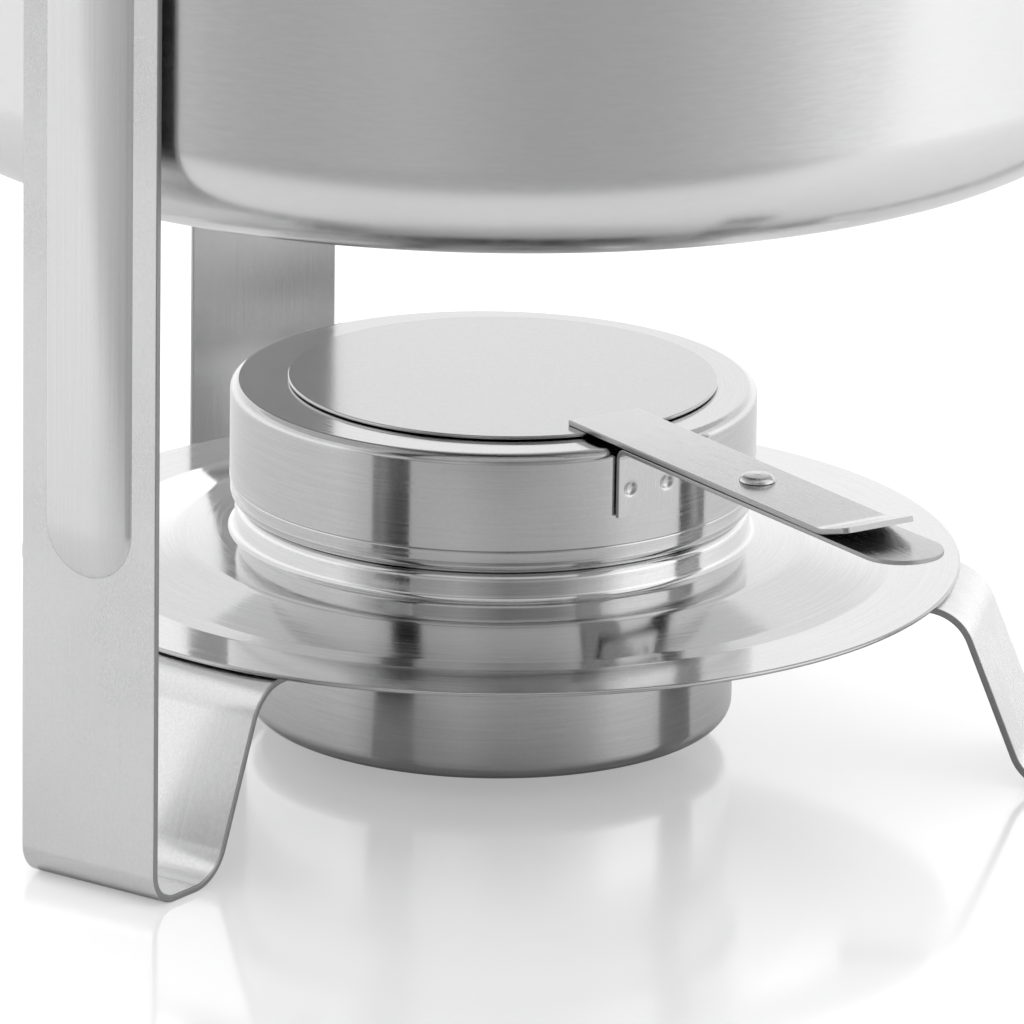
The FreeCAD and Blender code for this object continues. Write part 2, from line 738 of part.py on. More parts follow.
def make_clip(azimuth):
    """Angle clip: an upright leaf that follows the inside of the rear shell and a foot on the collar."""
    leaf = Part.makeSphere(rear_r, PIVOT).cut(Part.makeSphere(rear_r - clip_sheet, PIVOT))
    foot_in = food_edge_r + clip_gap
    block = Part.makeBox(clip_width, 30, clip_height, Vec(-clip_width / 2, -dome_foot_r - 10, collar_z))
    leaf = leaf.common(block)
    foot_out = dome_foot_r - clip_sheet / 2
    corner = Vec(-clip_width / 2, -foot_out, collar_z)
    foot = Part.makeBox(clip_width, foot_out - foot_in, clip_sheet, corner)
    foot = foot.common(Part.makeSphere(rear_r, PIVOT))
    clip = leaf.fuse(foot).removeSplitter()
    clip = clip.cut(Part.makeCylinder(clip_screw_r, 10, Vec(0, -clip_bolt_r(), collar_z - 5), Vec(0, 0, 1)))
    return turned(clip, azimuth)


def make_clip_screws():
    solids = []
    for azimuth in clip_angles:
        at = direction(azimuth) * clip_bolt_r()
        low = collar_z - ring_sheet - clip_nut_h - 0.8
        top = collar_z + clip_sheet
        shank = Part.makeCylinder(clip_screw_r, top - low, at + Vec(0, 0, low))
        head = button(clip_head_r, clip_head_h, at + Vec(0, 0, top), Vec(0, 0, 1))
        solids.append(shank.fuse(head).removeSplitter())
    return Part.makeCompound(solids)


def make_clip_nuts():
    solids = []
    for azimuth in clip_angles:
        at = direction(azimuth) * clip_bolt_r() + Vec(0, 0, collar_z - ring_sheet - clip_nut_h)
        corners = [direction(60 * k) * clip_nut_r for k in range(7)]
        nut = Part.Face(Part.makePolygon(corners)).extrude(Vec(0, 0, clip_nut_h))
        nut = nut.cut(Part.makeCylinder(clip_screw_r, clip_nut_h))
        nut.translate(at)
        solids.append(nut)
    return Part.makeCompound(solids)


def make_bumpers():
    """Soft pads on the collar that the front shell's bead comes down on."""
    height = bead_z - bead_r - bumper_gap - collar_z
    ring = math.sqrt(front_out_r ** 2 - (pivot_z - dome_edge_z) ** 2)
    solids = []
    for azimuth in bumper_angles:
        half = bumper_length / 2 - bumper_width / 2
        pad = Part.makeBox(2 * half, bumper_width, height, Vec(-half, -ring - bumper_width / 2, collar_z))
        for side in (-1, 1):
            pad = pad.fuse(Part.makeCylinder(bumper_width / 2, height, Vec(side * half, -ring, collar_z)))
        solids.append(turned(pad.removeSplitter(), azimuth))
    return Part.makeCompound(solids)


# ---- handle -------------------------------------------------------------------------------------------
def handle_out():
    a = math.radians(handle_tilt)
    return Vec(0, -math.cos(a), math.sin(a))


def handle_foot(side, radius):
    """Where one end of the handle meets a ball of that radius round the pivots' middle."""
    half = handle_span / 2
    return PIVOT + Vec(side * half, 0, 0) + handle_out() * math.sqrt(radius ** 2 - half ** 2)


def handle_screw_places():
    return [(handle_foot(side, front_out_r), handle_out()) for side in (-1, 1)]


def make_handle():
    """Bow of round bar on the front shell, with a tapped hole in each end."""
    out = handle_out()
    base = math.sqrt(front_out_r ** 2 - (handle_span / 2) ** 2)
    start = base + ferrule_height
    top = front_out_r + handle_stand
    half = handle_span / 2

    def at(x, reach):
        return PIVOT + Vec(x, 0, 0) + out * reach

    bend = handle_bend
    slack = bend * (1 - math.sqrt(0.5))
    left = Part.Arc(at(-half, top - bend), at(-half + slack, top - slack), at(-half + bend, top))
    right = Part.Arc(at(half - bend, top), at(half - slack, top - slack), at(half, top - bend))
    runs = [
        Part.LineSegment(at(-half, start), at(-half, top - bend)),
        left,
        Part.LineSegment(at(-half + bend, top), at(half - bend, top)),
        right,
        Part.LineSegment(at(half, top - bend), at(half, start)),
    ]
    path = Part.Wire([run.toShape() for run in runs])
    ring = Part.Wire(Part.makeCircle(handle_bar_r, at(-half, start), out))
    bar = path.makePipeShell([ring], True, False)
    for side in (-1, 1):
        bar = bar.cut(Part.makeCylinder(handle_screw_r, handle_screw_depth, at(side * half, start), out))
    return bar


def make_ferrules():
    """Collars between the bar's ends and the shell, scooped to the shell's curve."""
    solids = []
    ball = Part.makeSphere(front_out_r, PIVOT)
    out = handle_out()
    for side in (-1, 1):
        foot = handle_foot(side, front_out_r)
        collar = Part.makeCylinder(ferrule_r, ferrule_height + 8, foot - out * 8, out).cut(ball)
        rim = [e for e in collar.Edges if len(e.Vertexes) == 1
               and abs((e.Vertexes[0].Point - foot).dot(out) - ferrule_height) < 1e-4]
        collar = collar.makeFillet(ferrule_round, rim)
        collar = collar.cut(Part.makeCylinder(handle_screw_r, 30, foot - out * 15, out))
        solids.append(collar)
    return Part.makeCompound(solids)


def make_handle_screws():
    """Screws through the front shell into the bar, their low heads bedded on the inside of the shell."""
    solids = []
    out = handle_out()
    lean = math.asin(handle_span / 2 / front_r)
    for side in (-1, 1):
        inside = handle_foot(side, front_r)
        seat = math.tan(lean) * handle_screw_head_r
        head = Part.makeCylinder(handle_screw_head_r, handle_screw_head_h + 2 * seat,
                                 inside - out * (handle_screw_head_h + seat), out)
        head = head.common(Part.makeSphere(front_r, PIVOT)).cut(
            Part.makeSphere(front_r - handle_screw_head_h, PIVOT))
        shank_end = handle_foot(side, front_out_r) + out * (ferrule_height + handle_screw_depth)
        start = inside - out * handle_screw_head_h * 0.6
        shank = Part.makeCylinder(handle_screw_r, (shank_end - start).Length, start, out)
        solids.append(head.fuse(shank).removeSplitter())
    return Part.makeCompound(solids)


# ---- the whole object ---------------------------------------------------------------------------------
def main():
    leg = make_leg()
    trim = make_trim()
    for name, angle in leg_angles.items():
        save(f"leg_{name}", turned(leg, angle))
        save(f"leg_trim_{name}", turned(trim, angle))
    save("leg_rivets", make_leg_rivets())
    save("carrier_ring", make_carrier_ring())
    save("burner_shelf", make_shelf())
    save("fuel_cup", make_cup())
    save("burner_cover", make_cover())
    save("cover_bracket", make_bracket())
    save("snuffer_lever", make_lever())
    save("snuffer_disc", make_disc())
    save("snuffer_rivet", make_rivet())
    save("snuffer_washer", make_rivet_washer())
    save("water_pan", make_water_pan())
    save("food_pan", make_food_pan())
    save("dome_rear", make_rear_dome())
    save("dome_front", make_front_dome())
    for name, side in (("left", -1), ("right", 1)):
        save(f"pivot_plate_{name}", make_pivot_plate(side))
        save(f"pivot_plate_rivets_{name}", make_plate_rivets(side))
        save(f"pivot_pin_{name}", make_pivot_pin(side))
        save(f"pivot_washer_{name}", make_pivot_washer(side))
        save(f"pivot_spacer_{name}", make_spacer(side))
        save(f"pivot_knob_{name}", make_knob(side))
    for name, azimuth in zip(("right", "rear", "left"), clip_angles):
        save(f"dome_clip_{name}", make_clip(azimuth))
    save("dome_clip_screws", make_clip_screws())
    save("dome_clip_nuts", make_clip_nuts())
    save("dome_bumpers", make_bumpers())
    save("handle_bar", make_handle())
    save("handle_ferrules", make_ferrules())
    save("handle_screws", make_handle_screws())


main()
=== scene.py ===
import json
import math

import bpy
import numpy as np
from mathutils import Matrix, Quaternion, Vector


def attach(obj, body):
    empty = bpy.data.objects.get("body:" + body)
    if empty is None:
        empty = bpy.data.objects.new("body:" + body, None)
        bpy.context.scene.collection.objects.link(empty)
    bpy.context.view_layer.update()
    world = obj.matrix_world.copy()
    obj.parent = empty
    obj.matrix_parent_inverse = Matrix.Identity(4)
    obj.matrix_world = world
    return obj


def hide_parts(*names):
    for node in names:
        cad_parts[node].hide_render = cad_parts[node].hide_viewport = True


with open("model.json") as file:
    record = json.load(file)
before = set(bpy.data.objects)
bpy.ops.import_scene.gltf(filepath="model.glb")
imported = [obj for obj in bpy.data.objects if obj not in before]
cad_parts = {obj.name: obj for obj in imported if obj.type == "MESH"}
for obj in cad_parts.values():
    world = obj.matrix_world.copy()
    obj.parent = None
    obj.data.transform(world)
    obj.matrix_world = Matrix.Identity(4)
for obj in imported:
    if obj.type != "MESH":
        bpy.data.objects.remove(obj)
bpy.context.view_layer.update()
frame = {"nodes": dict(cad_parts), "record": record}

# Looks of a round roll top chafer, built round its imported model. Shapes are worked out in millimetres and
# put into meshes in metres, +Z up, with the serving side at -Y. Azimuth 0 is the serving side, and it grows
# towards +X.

MM = 0.001
TURN = 2 * math.pi
UP = np.array([0.0, 0.0, 1.0])
STRIP_STEP = 4.0               # degrees of a bend to a section of a strip or tube
EDGE_SOFT = 0.22               # rounding of a strip's long edges, share of its thickness
PROBE = 0.05                   # step over which the slope of a relief is measured
DENT_STEP = 0.3                # between the sections of a dented sheet
WELD = 2e-7                    # in metres: points nearer than this are one vertex
DOME_ACROSS = 193              # sections of a dome shell from ear to ear
DOME_ALONG = 97                # and along its roll
EAR_RINGS = 7
EAR_ROUND = 49

# ---- sizes, in millimetres -------------------------------------------------------------------------------
pan_r = 138.2
pan_bottom_z = 140.2
pan_depth = 87.3
pan_sheet = 1.0
pan_corner = 22.8
rim_width = 7.3
rim_corner = 2.5
food_gap = 3.5
food_depth = 56.0
food_sheet = 0.8
food_corner = 16.0
food_rim_over = 1.0
food_lip_gap = 0.4
food_lip_corner = 1.0
ring_gap = 0.5
ring_sheet = 1.2
ring_height = 23.5
ring_corner = 4.0
collar_over = 7.5
collar_lip = 10.5
lip_corner = 3.0
leg_angles = {"front_left": -58.0, "front_right": 58.0, "rear": 180.0}
leg_width = 34.8
leg_sheet = 1.5
leg_top_gap = 4.5
foot_heel = 7.0
foot_reach = 21.9
foot_toe = 11.0
web_angle = 68.0
web_bend = 10.0
tab_under = 21.0
trim_margin = 6.3
trim_crown = 1.2
trim_edge = 0.5
trim_edge_round = 1.3
trim_foot_z = 68.6
trim_top_gap = 7.0
shelf_r = 101.3
shelf_sheet = 1.0
shelf_rim_z = 40.8
shelf_band = 14.5
shelf_neck_z = 46.1
shelf_upstand = 6.1
shelf_hole_gap = 0.6
shelf_upstand_in = 1.0
shelf_hole_bend = 1.8
shelf_neck_bend = 1.6
dish_brow_share = 0.40         # of the way from the upstand to the flat rim
dish_brow_fall = 1.0
dish_brow_bend = 16.0
dish_toe_run = 4.0
dish_toe_rise = 0.6
dish_toe_bend = 7.0
band_bend = 5.0
cup_r = 52.8
cup_bottom_z = 4.7
cup_sheet = 0.6
cup_corner = 4.0
shoulder_width = 4.0
shoulder_height = 5.6
shoulder_bend = 2.9
shoulder_fillet = 0.5
shoulder_edge = 0.75
neck_fillet = 0.4
neck_step = 1.4
neck_height = 5.0
cover_over = 0.2
cover_sheet = 0.8
cover_height = 21.0
cover_corner = 2.2
flame_hole_r = 36.0
flame_hole_lip = 3.0
flame_hole_bend = 1.3
arm_angle = 12.7
arm_width = 18.0
arm_plate_width = 15.7
arm_flare_from = 6.0
arm_flare_to = 25.0
arm_sheet = 1.0
arm_plate_height = 14.4
arm_bend = 2.6
arm_reach = 98.3
arm_end_corner = 8.5
weld_dot_r = 1.3
weld_dot_depth = 0.5
weld_dot_share = 0.42
weld_dot_pitch = 9.4
rivet_reach = 39.7
rivet_head_r = 3.9
rivet_head_h = 1.5
rivet_slip = 0.05
rivet_head_shoulder = 0.86     # share of the head's radius and height where its dome starts
rivet_head_bend = 1.4
rivet_head_foot = 0.15
rivet_tail_r = 3.2
rivet_tail_h = 1.0
rivet_tail_bend = 0.4
rivet_tail_foot = 0.1
rivet_washer_t = 0.4
arm_below_cover = 0.4
lever_skew = -1.1
lever_over_disc = 7.0
lever_outer = 35.0
lever_lip = 9.5
lever_lip_rise = 16.0
lever_lip_bend = 14.0
lever_sheet = 1.2
lever_end_corner = 1.5
disc_over_hole = 10.5
disc_sheet = 0.8
disc_off_axis = 2.1
disc_edge_round = 0.3
pivot_rise = 22.5
dome_room = 8.1
dome_sheet = 1.0
dome_gap = 4.0
dome_seat_gap = 3.0
front_overlap = 5.0
rear_overlap = 4.0
ear_r = 18.0
bead_r = 1.4
bead_up_share = 0.6            # from the shell's lower edge to the bead's middle, of its radius
pin_r = 3.0
plate_sheet = 1.5
knob_r = 13.0
knob_length = 12.0
knob_waist_r = 8.1
knob_waist_h = 2.2
knob_swell = ((0.723, 3.0), (0.931, 4.2), (1.0, 5.6))   # share of the knob's radius, height above its foot
knob_crown_from = 7.4
knob_face_r = 4.6
knob_round = 0.3
handle_tilt = 17.0
handle_span = 104.0
handle_bar_r = 5.0
handle_stand = 36.0
handle_bend = 15.0
ferrule_height = 4.5
handle_end_depth = 0.5
handle_end_round = 0.2

collar_z = pan_bottom_z + pan_depth
band_in_r = pan_r + ring_gap
leg_face_r = band_in_r + ring_sheet + leg_sheet
leg_top_z = collar_z - leg_top_gap
rim_r = pan_r + rim_width
food_edge_r = rim_r + food_rim_over + food_sheet
shelf_under_z = shelf_rim_z - shelf_sheet
upstand_top_z = shelf_neck_z + shelf_upstand
shoulder_r = cup_r + shoulder_width
shoulder_top_z = upstand_top_z + shoulder_height
neck_r = shoulder_r - neck_step
cover_r = shoulder_r + cover_over
cover_top_z = shoulder_top_z + cover_height
arm_under_z = cover_top_z - arm_below_cover
lever_under_z = arm_under_z + arm_sheet + rivet_washer_t
rivet_at = cover_r + rivet_reach
disc_r = flame_hole_r + disc_over_hole
lever_inner = rivet_at - disc_r + lever_over_disc
pivot_z = collar_z + pivot_rise
rear_r = math.hypot(food_edge_r + dome_room, pivot_rise)
front_r = rear_r + dome_sheet + dome_gap
front_out_r = front_r + dome_sheet
collar_r = front_out_r + collar_over
PIVOT = np.array([0.0, 0.0, pivot_z])

body_of = {node: body for body, nodes in frame["record"]["behaviour"]["bodies"].items() for node in nodes}
slot_of = {part["node"]: part["material_slot"] for part in frame["record"]["subparts"]}


# ---- lines and outlines ----------------------------------------------------------------------------------
def outward(azimuth):
    """Unit vector away from the axis at that azimuth."""
    a = math.radians(azimuth)
    return np.array([math.sin(a), -math.cos(a), 0.0])


def sideways(azimuth):
    """Unit vector round the axis at that azimuth, a quarter turn on from outward."""
    return outward(azimuth + 90.0)


def arc_line(points, radii, step=6.0):
    """Line through points with a round at each inner point: places, headings and length so far.

    A round of radius r that turns by t starts r tan(t/2) before its corner. Its places are the centre plus r
    times a unit vector at even angles, and its headings are tangent there."""
    points = [np.array(p, float) for p in points]
    places, headings = [points[0]], []
    for before, corner, after, radius in zip(points, points[1:], points[2:], radii):
        u = (corner - before) / np.linalg.norm(corner - before)
        v = (after - corner) / np.linalg.norm(after - corner)
        turn = math.atan2(u[0] * v[1] - u[1] * v[0], u @ v)
        back = radius * math.tan(abs(turn) / 2)
        left = math.copysign(1.0, turn) * np.array([-u[1], u[0]])
        centre = corner - u * back + left * radius
        count = max(2, math.ceil(math.degrees(abs(turn)) / step))
        a = np.linspace(0, abs(turn), count + 1)[:, None]
        if not headings:
            headings.append(u)
        places.extend(centre - left * radius * np.cos(a) + u * radius * np.sin(a))
        headings.extend(u * np.cos(a) + left * np.sin(a))
    last = points[-1] - points[-2]
    last = last / np.linalg.norm(last)
    headings = headings or [last]
    places.append(points[-1])
    headings.append(last)
    places, headings = np.array(places), np.array(headings)
    length = np.concatenate([[0.0], np.cumsum(np.linalg.norm(np.diff(places, axis=0), axis=1))])
    return places, headings, length


def right_of(headings):
    """Each heading turned a quarter turn to its right."""
    return np.stack([headings[:, 1], -headings[:, 0]], 1)


def sheet_loop(points, radii, thick, from_axis=False, round_steps=6):
    """Outline of a sheet: one skin on the line, the other to its right (left if thick is negative).

    The two skins are the line and the line moved square to itself, joined by half circles as wide as the
    sheet. With from_axis the sheet starts on the axis, and its outline stays open there."""
    place, heading, _ = arc_line(points, radii)
    across = math.copysign(1.0, thick) * right_of(heading)
    half = abs(thick) / 2
    a = np.linspace(0, math.pi, round_steps + 2)[1:-1, None]

    def cap(at, direction, facing):
        """Half circle at an end, from one skin over the end to the other."""
        normal = facing * np.cos(a) + direction * np.sin(a)
        return at + half * normal, normal

    end, end_normal = cap(place[-1] + across[-1] * half, heading[-1], -across[-1])
    start, start_normal = cap(place[0] + across[0] * half, -heading[0], across[0])
    back = (place + across * abs(thick))[::-1]
    places = [place, end, back] + ([] if from_axis else [start, place[:1]])
    normals = [-across, end_normal, across[::-1]] + ([] if from_axis else [start_normal, -across[:1]])
    cut = [np.zeros(len(place)), np.ones(len(end)), np.zeros(len(back))]
    cut += [] if from_axis else [np.ones(len(start)), np.zeros(1)]
    return np.concatenate(places), np.concatenate(normals), np.concatenate(cut)


def solid_loop(points, radii, step=6.0):
    """Outline of a turned solid that starts and ends on its axis, with the solid to the left of the line."""
    place, heading, _ = arc_line(points, radii, step)
    return place, right_of(heading), np.zeros(len(place))


# ---- surfaces ----------------------------------------------------------------------------------------------
def lathe(loop, base=(0.0, 0.0, 0.0), axis=UP, turns=192):
    """The outline turned round an axis: base + axis * height + distance * (cosine, sine of the angle)."""
    place, normal, cut = loop
    axis = np.asarray(axis, float)
    first = np.cross(axis, UP if abs(axis[2]) < 0.9 else np.array([1.0, 0.0, 0.0]))
    first = first / np.linalg.norm(first)
    second = np.cross(axis, first)
    a = np.linspace(0, TURN, turns + 1)[:, None, None]
    spoke = np.cos(a) * first + np.sin(a) * second
    points = np.asarray(base, float) + spoke * place[None, :, :1] + axis * place[None, :, 1:]
    normals = spoke * normal[None, :, :1] + axis * normal[None, :, 1:]
    along = np.broadcast_to(np.linspace(0, 1, turns + 1)[:, None], points.shape[:2])
    return {"points": points, "normals": normals, "cut": np.broadcast_to(cut, points.shape[:2]),
            "uv": np.stack([along, np.broadcast_to(place[:, 1] * MM, points.shape[:2])], 2)}


def piece(name, grids, node, material):
    """One mesh of grids of points, each a surface with two parameters, in place of a node.

    Four neighbouring points of a grid make a face, points at the same place are one vertex, a face with two
    points in one place is a triangle, and each corner has its grid's own normal."""
    points, normals, uvs, cuts, quads = [], [], [], [], []
    count = 0
    for grid in grids:
        rows, columns = grid["points"].shape[:2]
        index = count + np.arange(rows * columns).reshape(rows, columns)
        corners = [index[:-1, :-1], index[1:, :-1], index[1:, 1:], index[:-1, 1:]]
        quads.append(np.stack(corners, 2).reshape(-1, 4))
        points.append(grid["points"].reshape(-1, 3) * MM)
        normals.append(grid["normals"].reshape(-1, 3))
        uvs.append(grid.get("uv", np.zeros((rows, columns, 2))).reshape(-1, 2))
        cuts.append(grid.get("cut", np.zeros((rows, columns))).reshape(-1))
        count += rows * columns
    points, normals, uvs, cuts, quads = (np.concatenate(x) for x in (points, normals, uvs, cuts, quads))
    a, b, c, d = (points[quads[:, k]] for k in range(4))
    facing = np.einsum("ij,ij->i", np.cross(c - a, d - b), normals[quads].sum(1))
    quads[facing < 0] = quads[facing < 0][:, ::-1]
    _, first, same = np.unique(np.round(points / WELD).astype(np.int64), axis=0, return_index=True,
                               return_inverse=True)
    welded = same.reshape(-1)[quads]
    keep = welded != np.roll(welded, -1, axis=1)
    whole = keep.sum(1) >= 3
    welded, keep, quads = welded[whole], keep[whole], quads[whole]
    corner_vertex, corner = welded[keep], quads[keep]
    sizes = keep.sum(1)
    mesh = bpy.data.meshes.new(name)
    mesh.vertices.add(len(first))
    mesh.vertices.foreach_set("co", points[first].astype(np.float32).ravel())
    mesh.loops.add(len(corner_vertex))
    mesh.loops.foreach_set("vertex_index", corner_vertex.astype(np.int32))
    mesh.polygons.add(len(sizes))
    starts = np.concatenate([[0], np.cumsum(sizes)[:-1]]).astype(np.int32)
    mesh.polygons.foreach_set("loop_start", starts)
    mesh.polygons.foreach_set("loop_total", sizes.astype(np.int32))
    mesh.polygons.foreach_set("use_smooth", np.ones(len(sizes), bool))
    mesh.uv_layers.new(name="UVMap").data.foreach_set("uv", uvs[corner].astype(np.float32).ravel())
    edges = mesh.attributes.new("cut_edge", "FLOAT", "CORNER")
    edges.data.foreach_set("value", cuts[corner].astype(np.float32))
    mesh.update(calc_edges=True)
    mesh.normals_split_custom_set(normals[corner].tolist())
    mesh.materials.append(material)
    thing = bpy.data.objects.new(name, mesh)
    bpy.context.scene.collection.objects.link(thing)
    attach(thing, body_of[node])
    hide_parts(node)
    return thing


def strip(points, radii, thick, azimuth, half_width, centre=(0.0, 0.0), extra=(), relief=None, columns=2):
    """A bent strip: a rounded rectangle carried along a line in the plane of one azimuth.

    A point is the line's place, plus its sideways share of half_width(length), plus its depth square to the
    line, plus relief(sideways, length) if the sheet is dented. extra adds lengths for more sections."""
    place, heading, length = arc_line(points, radii, STRIP_STEP)
    wanted = np.unique(np.concatenate([length, np.asarray(extra, float)]))
    place = np.stack([np.interp(wanted, length, place[:, k]) for k in range(2)], 1)
    heading = np.stack([np.interp(wanted, length, heading[:, k]) for k in range(2)], 1)
    heading /= np.linalg.norm(heading, axis=1)[:, None]
    across = math.copysign(1.0, thick) * right_of(heading)
    deep = abs(thick)
    soft = deep * EDGE_SOFT
    a = np.radians(np.linspace(0, 90, 5))
    inner = np.linspace(-1, 1, columns + 1)[1:-1]
    # half a section from one side's middle, over the first skin, to the other side's middle
    share = np.concatenate([[-1] * 6, inner, [1] * 6])
    reach = np.concatenate([[-soft], -soft * np.cos(a), 0 * inner, soft * np.sin(a), [soft]])
    depth = np.concatenate([[deep / 2], soft - soft * np.sin(a), 0 * inner, soft - soft * np.cos(a),
                            [deep / 2]])
    lean = np.concatenate([[-1], -np.cos(a), 0 * inner, np.sin(a), [1]])
    rise = np.concatenate([[0], -np.sin(a), 0 * inner - 1, -np.cos(a), [0]])
    cut = (np.abs(lean) > 0.5).astype(float)
    half = half_width(wanted)
    slope = np.gradient(half, wanted)
    out, side = outward(azimuth), sideways(azimuth)
    middle = np.array([centre[0], centre[1], 0.0])

    def face(depths, rises):
        """One skin with half of both long edges, at those depths under the first skin."""
        x = share * (half[:, None] - soft) + reach
        dent = relief(x, wanted[:, None]) if relief else np.zeros_like(x)
        n = depths + dent
        plane = place[:, None, :] + across[:, None, :] * n[..., None]
        spots = middle + plane[..., :1] * out + plane[..., 1:] * UP + x[..., None] * side
        square = across[:, None, :1] * out + across[:, None, 1:] * UP
        ahead = heading[:, None, :1] * out + heading[:, None, 1:] * UP
        edge = side - np.sign(share)[None, :, None] * slope[:, None, None] * ahead
        normal = lean[None, :, None] * edge + rises[None, :, None] * square
        if relief:
            facing = rises[None, :, None]
            step_x = (relief(x + PROBE, wanted[:, None]) - dent)[..., None] / PROBE
            step_s = (relief(x, wanted[:, None] + PROBE) - dent)[..., None] / PROBE
            normal = normal - facing * (step_x * side + step_s * ahead)
        normal = normal / np.linalg.norm(normal, axis=2)[..., None]
        uv = np.stack([x * MM, np.broadcast_to(wanted[:, None] * MM, x.shape)], 2)
        return {"points": spots, "normals": normal, "uv": uv, "cut": np.broadcast_to(cut, x.shape)}

    one, other = face(depth, rise), face(deep - depth, -rise)
    grids = [one, other]
    for row in (0, -1):
        ends = np.stack([one["points"][row], other["points"][row]])
        ahead = (heading[row, 0] * out + heading[row, 1] * UP) * (-1 if row == 0 else 1)
        grids.append({"points": ends, "normals": np.broadcast_to(ahead, ends.shape),
                      "cut": np.ones(ends.shape[:2]), "uv": one["uv"][[row, row]]})
    return grids


def rounded_end(stations, corner, total):
    """Half the width of a strip along its length: straight between (length, width) stations, and quarter
    circles at the two corners of its end."""
    lengths, widths = np.array(stations).T

    def half_width(s):
        """Half the width at those lengths."""
        past = np.clip(s - (total - corner), 0, corner)
        return np.interp(s, lengths, widths) / 2 - corner + np.sqrt(corner ** 2 - past ** 2)
    return half_width


def end_stations(total, corner, count=10):
    """Lengths at even angles round an end corner."""
    return total - corner + corner * np.sin(np.radians(np.linspace(0, 89.0, count)))


def tube(points, radii, r, place_of, square_to, steps=24):
    """Round bar along a line in a plane: circle of radius r square to the line at each place."""
    place, heading, _ = arc_line(points, radii, STRIP_STEP)
    aside = right_of(heading)
    a = np.linspace(0, TURN, steps + 1)[None, :, None]
    origin = place_of(np.zeros(2))
    middle = np.array([place_of(p) for p in place])[:, None]
    spoke = np.array([place_of(p) - origin for p in aside])[:, None]
    normal = np.cos(a) * spoke + np.sin(a) * np.asarray(square_to)
    return {"points": middle + r * normal, "normals": normal}


SPUN_HEIGHT_SHARE = 0.83       # height counts less than distance, so a slope of 45 degrees has lines too
RELIEF_DEPTH = 0.00004         # of the finish, in metres
GRAIN_SHARE = 0.7              # of the finish's relief, the rest being pits
MARK_TONE = 0.35               # share of a mark's strength that darkens the steel
CUT_DULL = 0.12                # roughness added on a cut edge
COOL = 1.004                   # blue over red and green in steel


# ---- materials ---------------------------------------------------------------------------------------------
def node_group(name, inputs, outputs):
    """An empty shader node group with named number inputs and outputs."""
    group = bpy.data.node_groups.new(name, "ShaderNodeTree")
    for label, value in inputs.items():
        socket = group.interface.new_socket(name=label, in_out="INPUT", socket_type="NodeSocketFloat")
        socket.default_value = value
    for label in outputs:
        group.interface.new_socket(name=label, in_out="OUTPUT", socket_type="NodeSocketFloat")
    return group, group.nodes.new("NodeGroupInput"), group.nodes.new("NodeGroupOutput")


def feed(tree, sockets, values):
    """Set each socket to its value, or link it where the value is another socket."""
    for socket, value in zip(sockets, values):
        if isinstance(value, (int, float)):
            socket.default_value = value
        else:
            tree.links.new(value, socket)


def number(tree, operation, a, b=0.0):
    """A Math node on two values, each a number or a socket."""
    node = tree.nodes.new("ShaderNodeMath")
    node.operation = operation
    feed(tree, node.inputs, (a, b))
    return node.outputs[0]


def spread(tree, value, low, high, to_low, to_high):
    """A Map Range node from low..high to to_low..to_high."""
    node = tree.nodes.new("ShaderNodeMapRange")
    tree.links.new(value, node.inputs["Value"])
    for label, setting in zip(("From Min", "From Max", "To Min", "To Max"), (low, high, to_low, to_high)):
        node.inputs[label].default_value = setting
    return node.outputs["Result"]


def graded(tree, value, to_low, to_high):
    """Noise, which lies mostly between 0.3 and 0.7, spread over to_low to to_high."""
    return spread(tree, value, 0.3, 0.7, to_low, to_high)


def noise(tree, vector, detail=3.0, roughness=0.55, scale=1.0):
    """Value of a Noise Texture node at that place."""
    node = tree.nodes.new("ShaderNodeTexNoise")
    node.inputs["Scale"].default_value = scale
    node.inputs["Detail"].default_value = detail
    node.inputs["Roughness"].default_value = roughness
    tree.links.new(vector, node.inputs["Vector"])
    return node.outputs["Fac"]


def combine(tree, x, y, z):
    """A vector or colour from three values, each a number or a socket."""
    node = tree.nodes.new("ShaderNodeCombineXYZ")
    feed(tree, node.inputs, (x, y, z))
    return node.outputs[0]


def scaled_place(tree, per_metre):
    """Place in the object's own coordinates times a count per metre."""
    place = tree.nodes.new("ShaderNodeTexCoord")
    scaled = tree.nodes.new("ShaderNodeVectorMath")
    scaled.operation = "SCALE"
    tree.links.new(place.outputs["Object"], scaled.inputs[0])
    tree.links.new(per_metre, scaled.inputs["Scale"])
    return scaled.outputs[0]


def make_long_grain():
    """Polishing lines along a strip: noise drawn out along the length of the UV map, which is in metres."""
    settings = {"Lines per metre": 3000.0, "Breaks per metre": 40.0}
    group, given, result = node_group("long_grain", settings, ["Grain"])
    uv = group.nodes.new("ShaderNodeUVMap")
    split = group.nodes.new("ShaderNodeSeparateXYZ")
    group.links.new(uv.outputs[0], split.inputs[0])
    across = number(group, "MULTIPLY", split.outputs[0], given.outputs["Lines per metre"])
    along = number(group, "MULTIPLY", split.outputs[1], given.outputs["Breaks per metre"])
    group.links.new(noise(group, combine(group, across, along, 0.0)), result.inputs["Grain"])
    return group


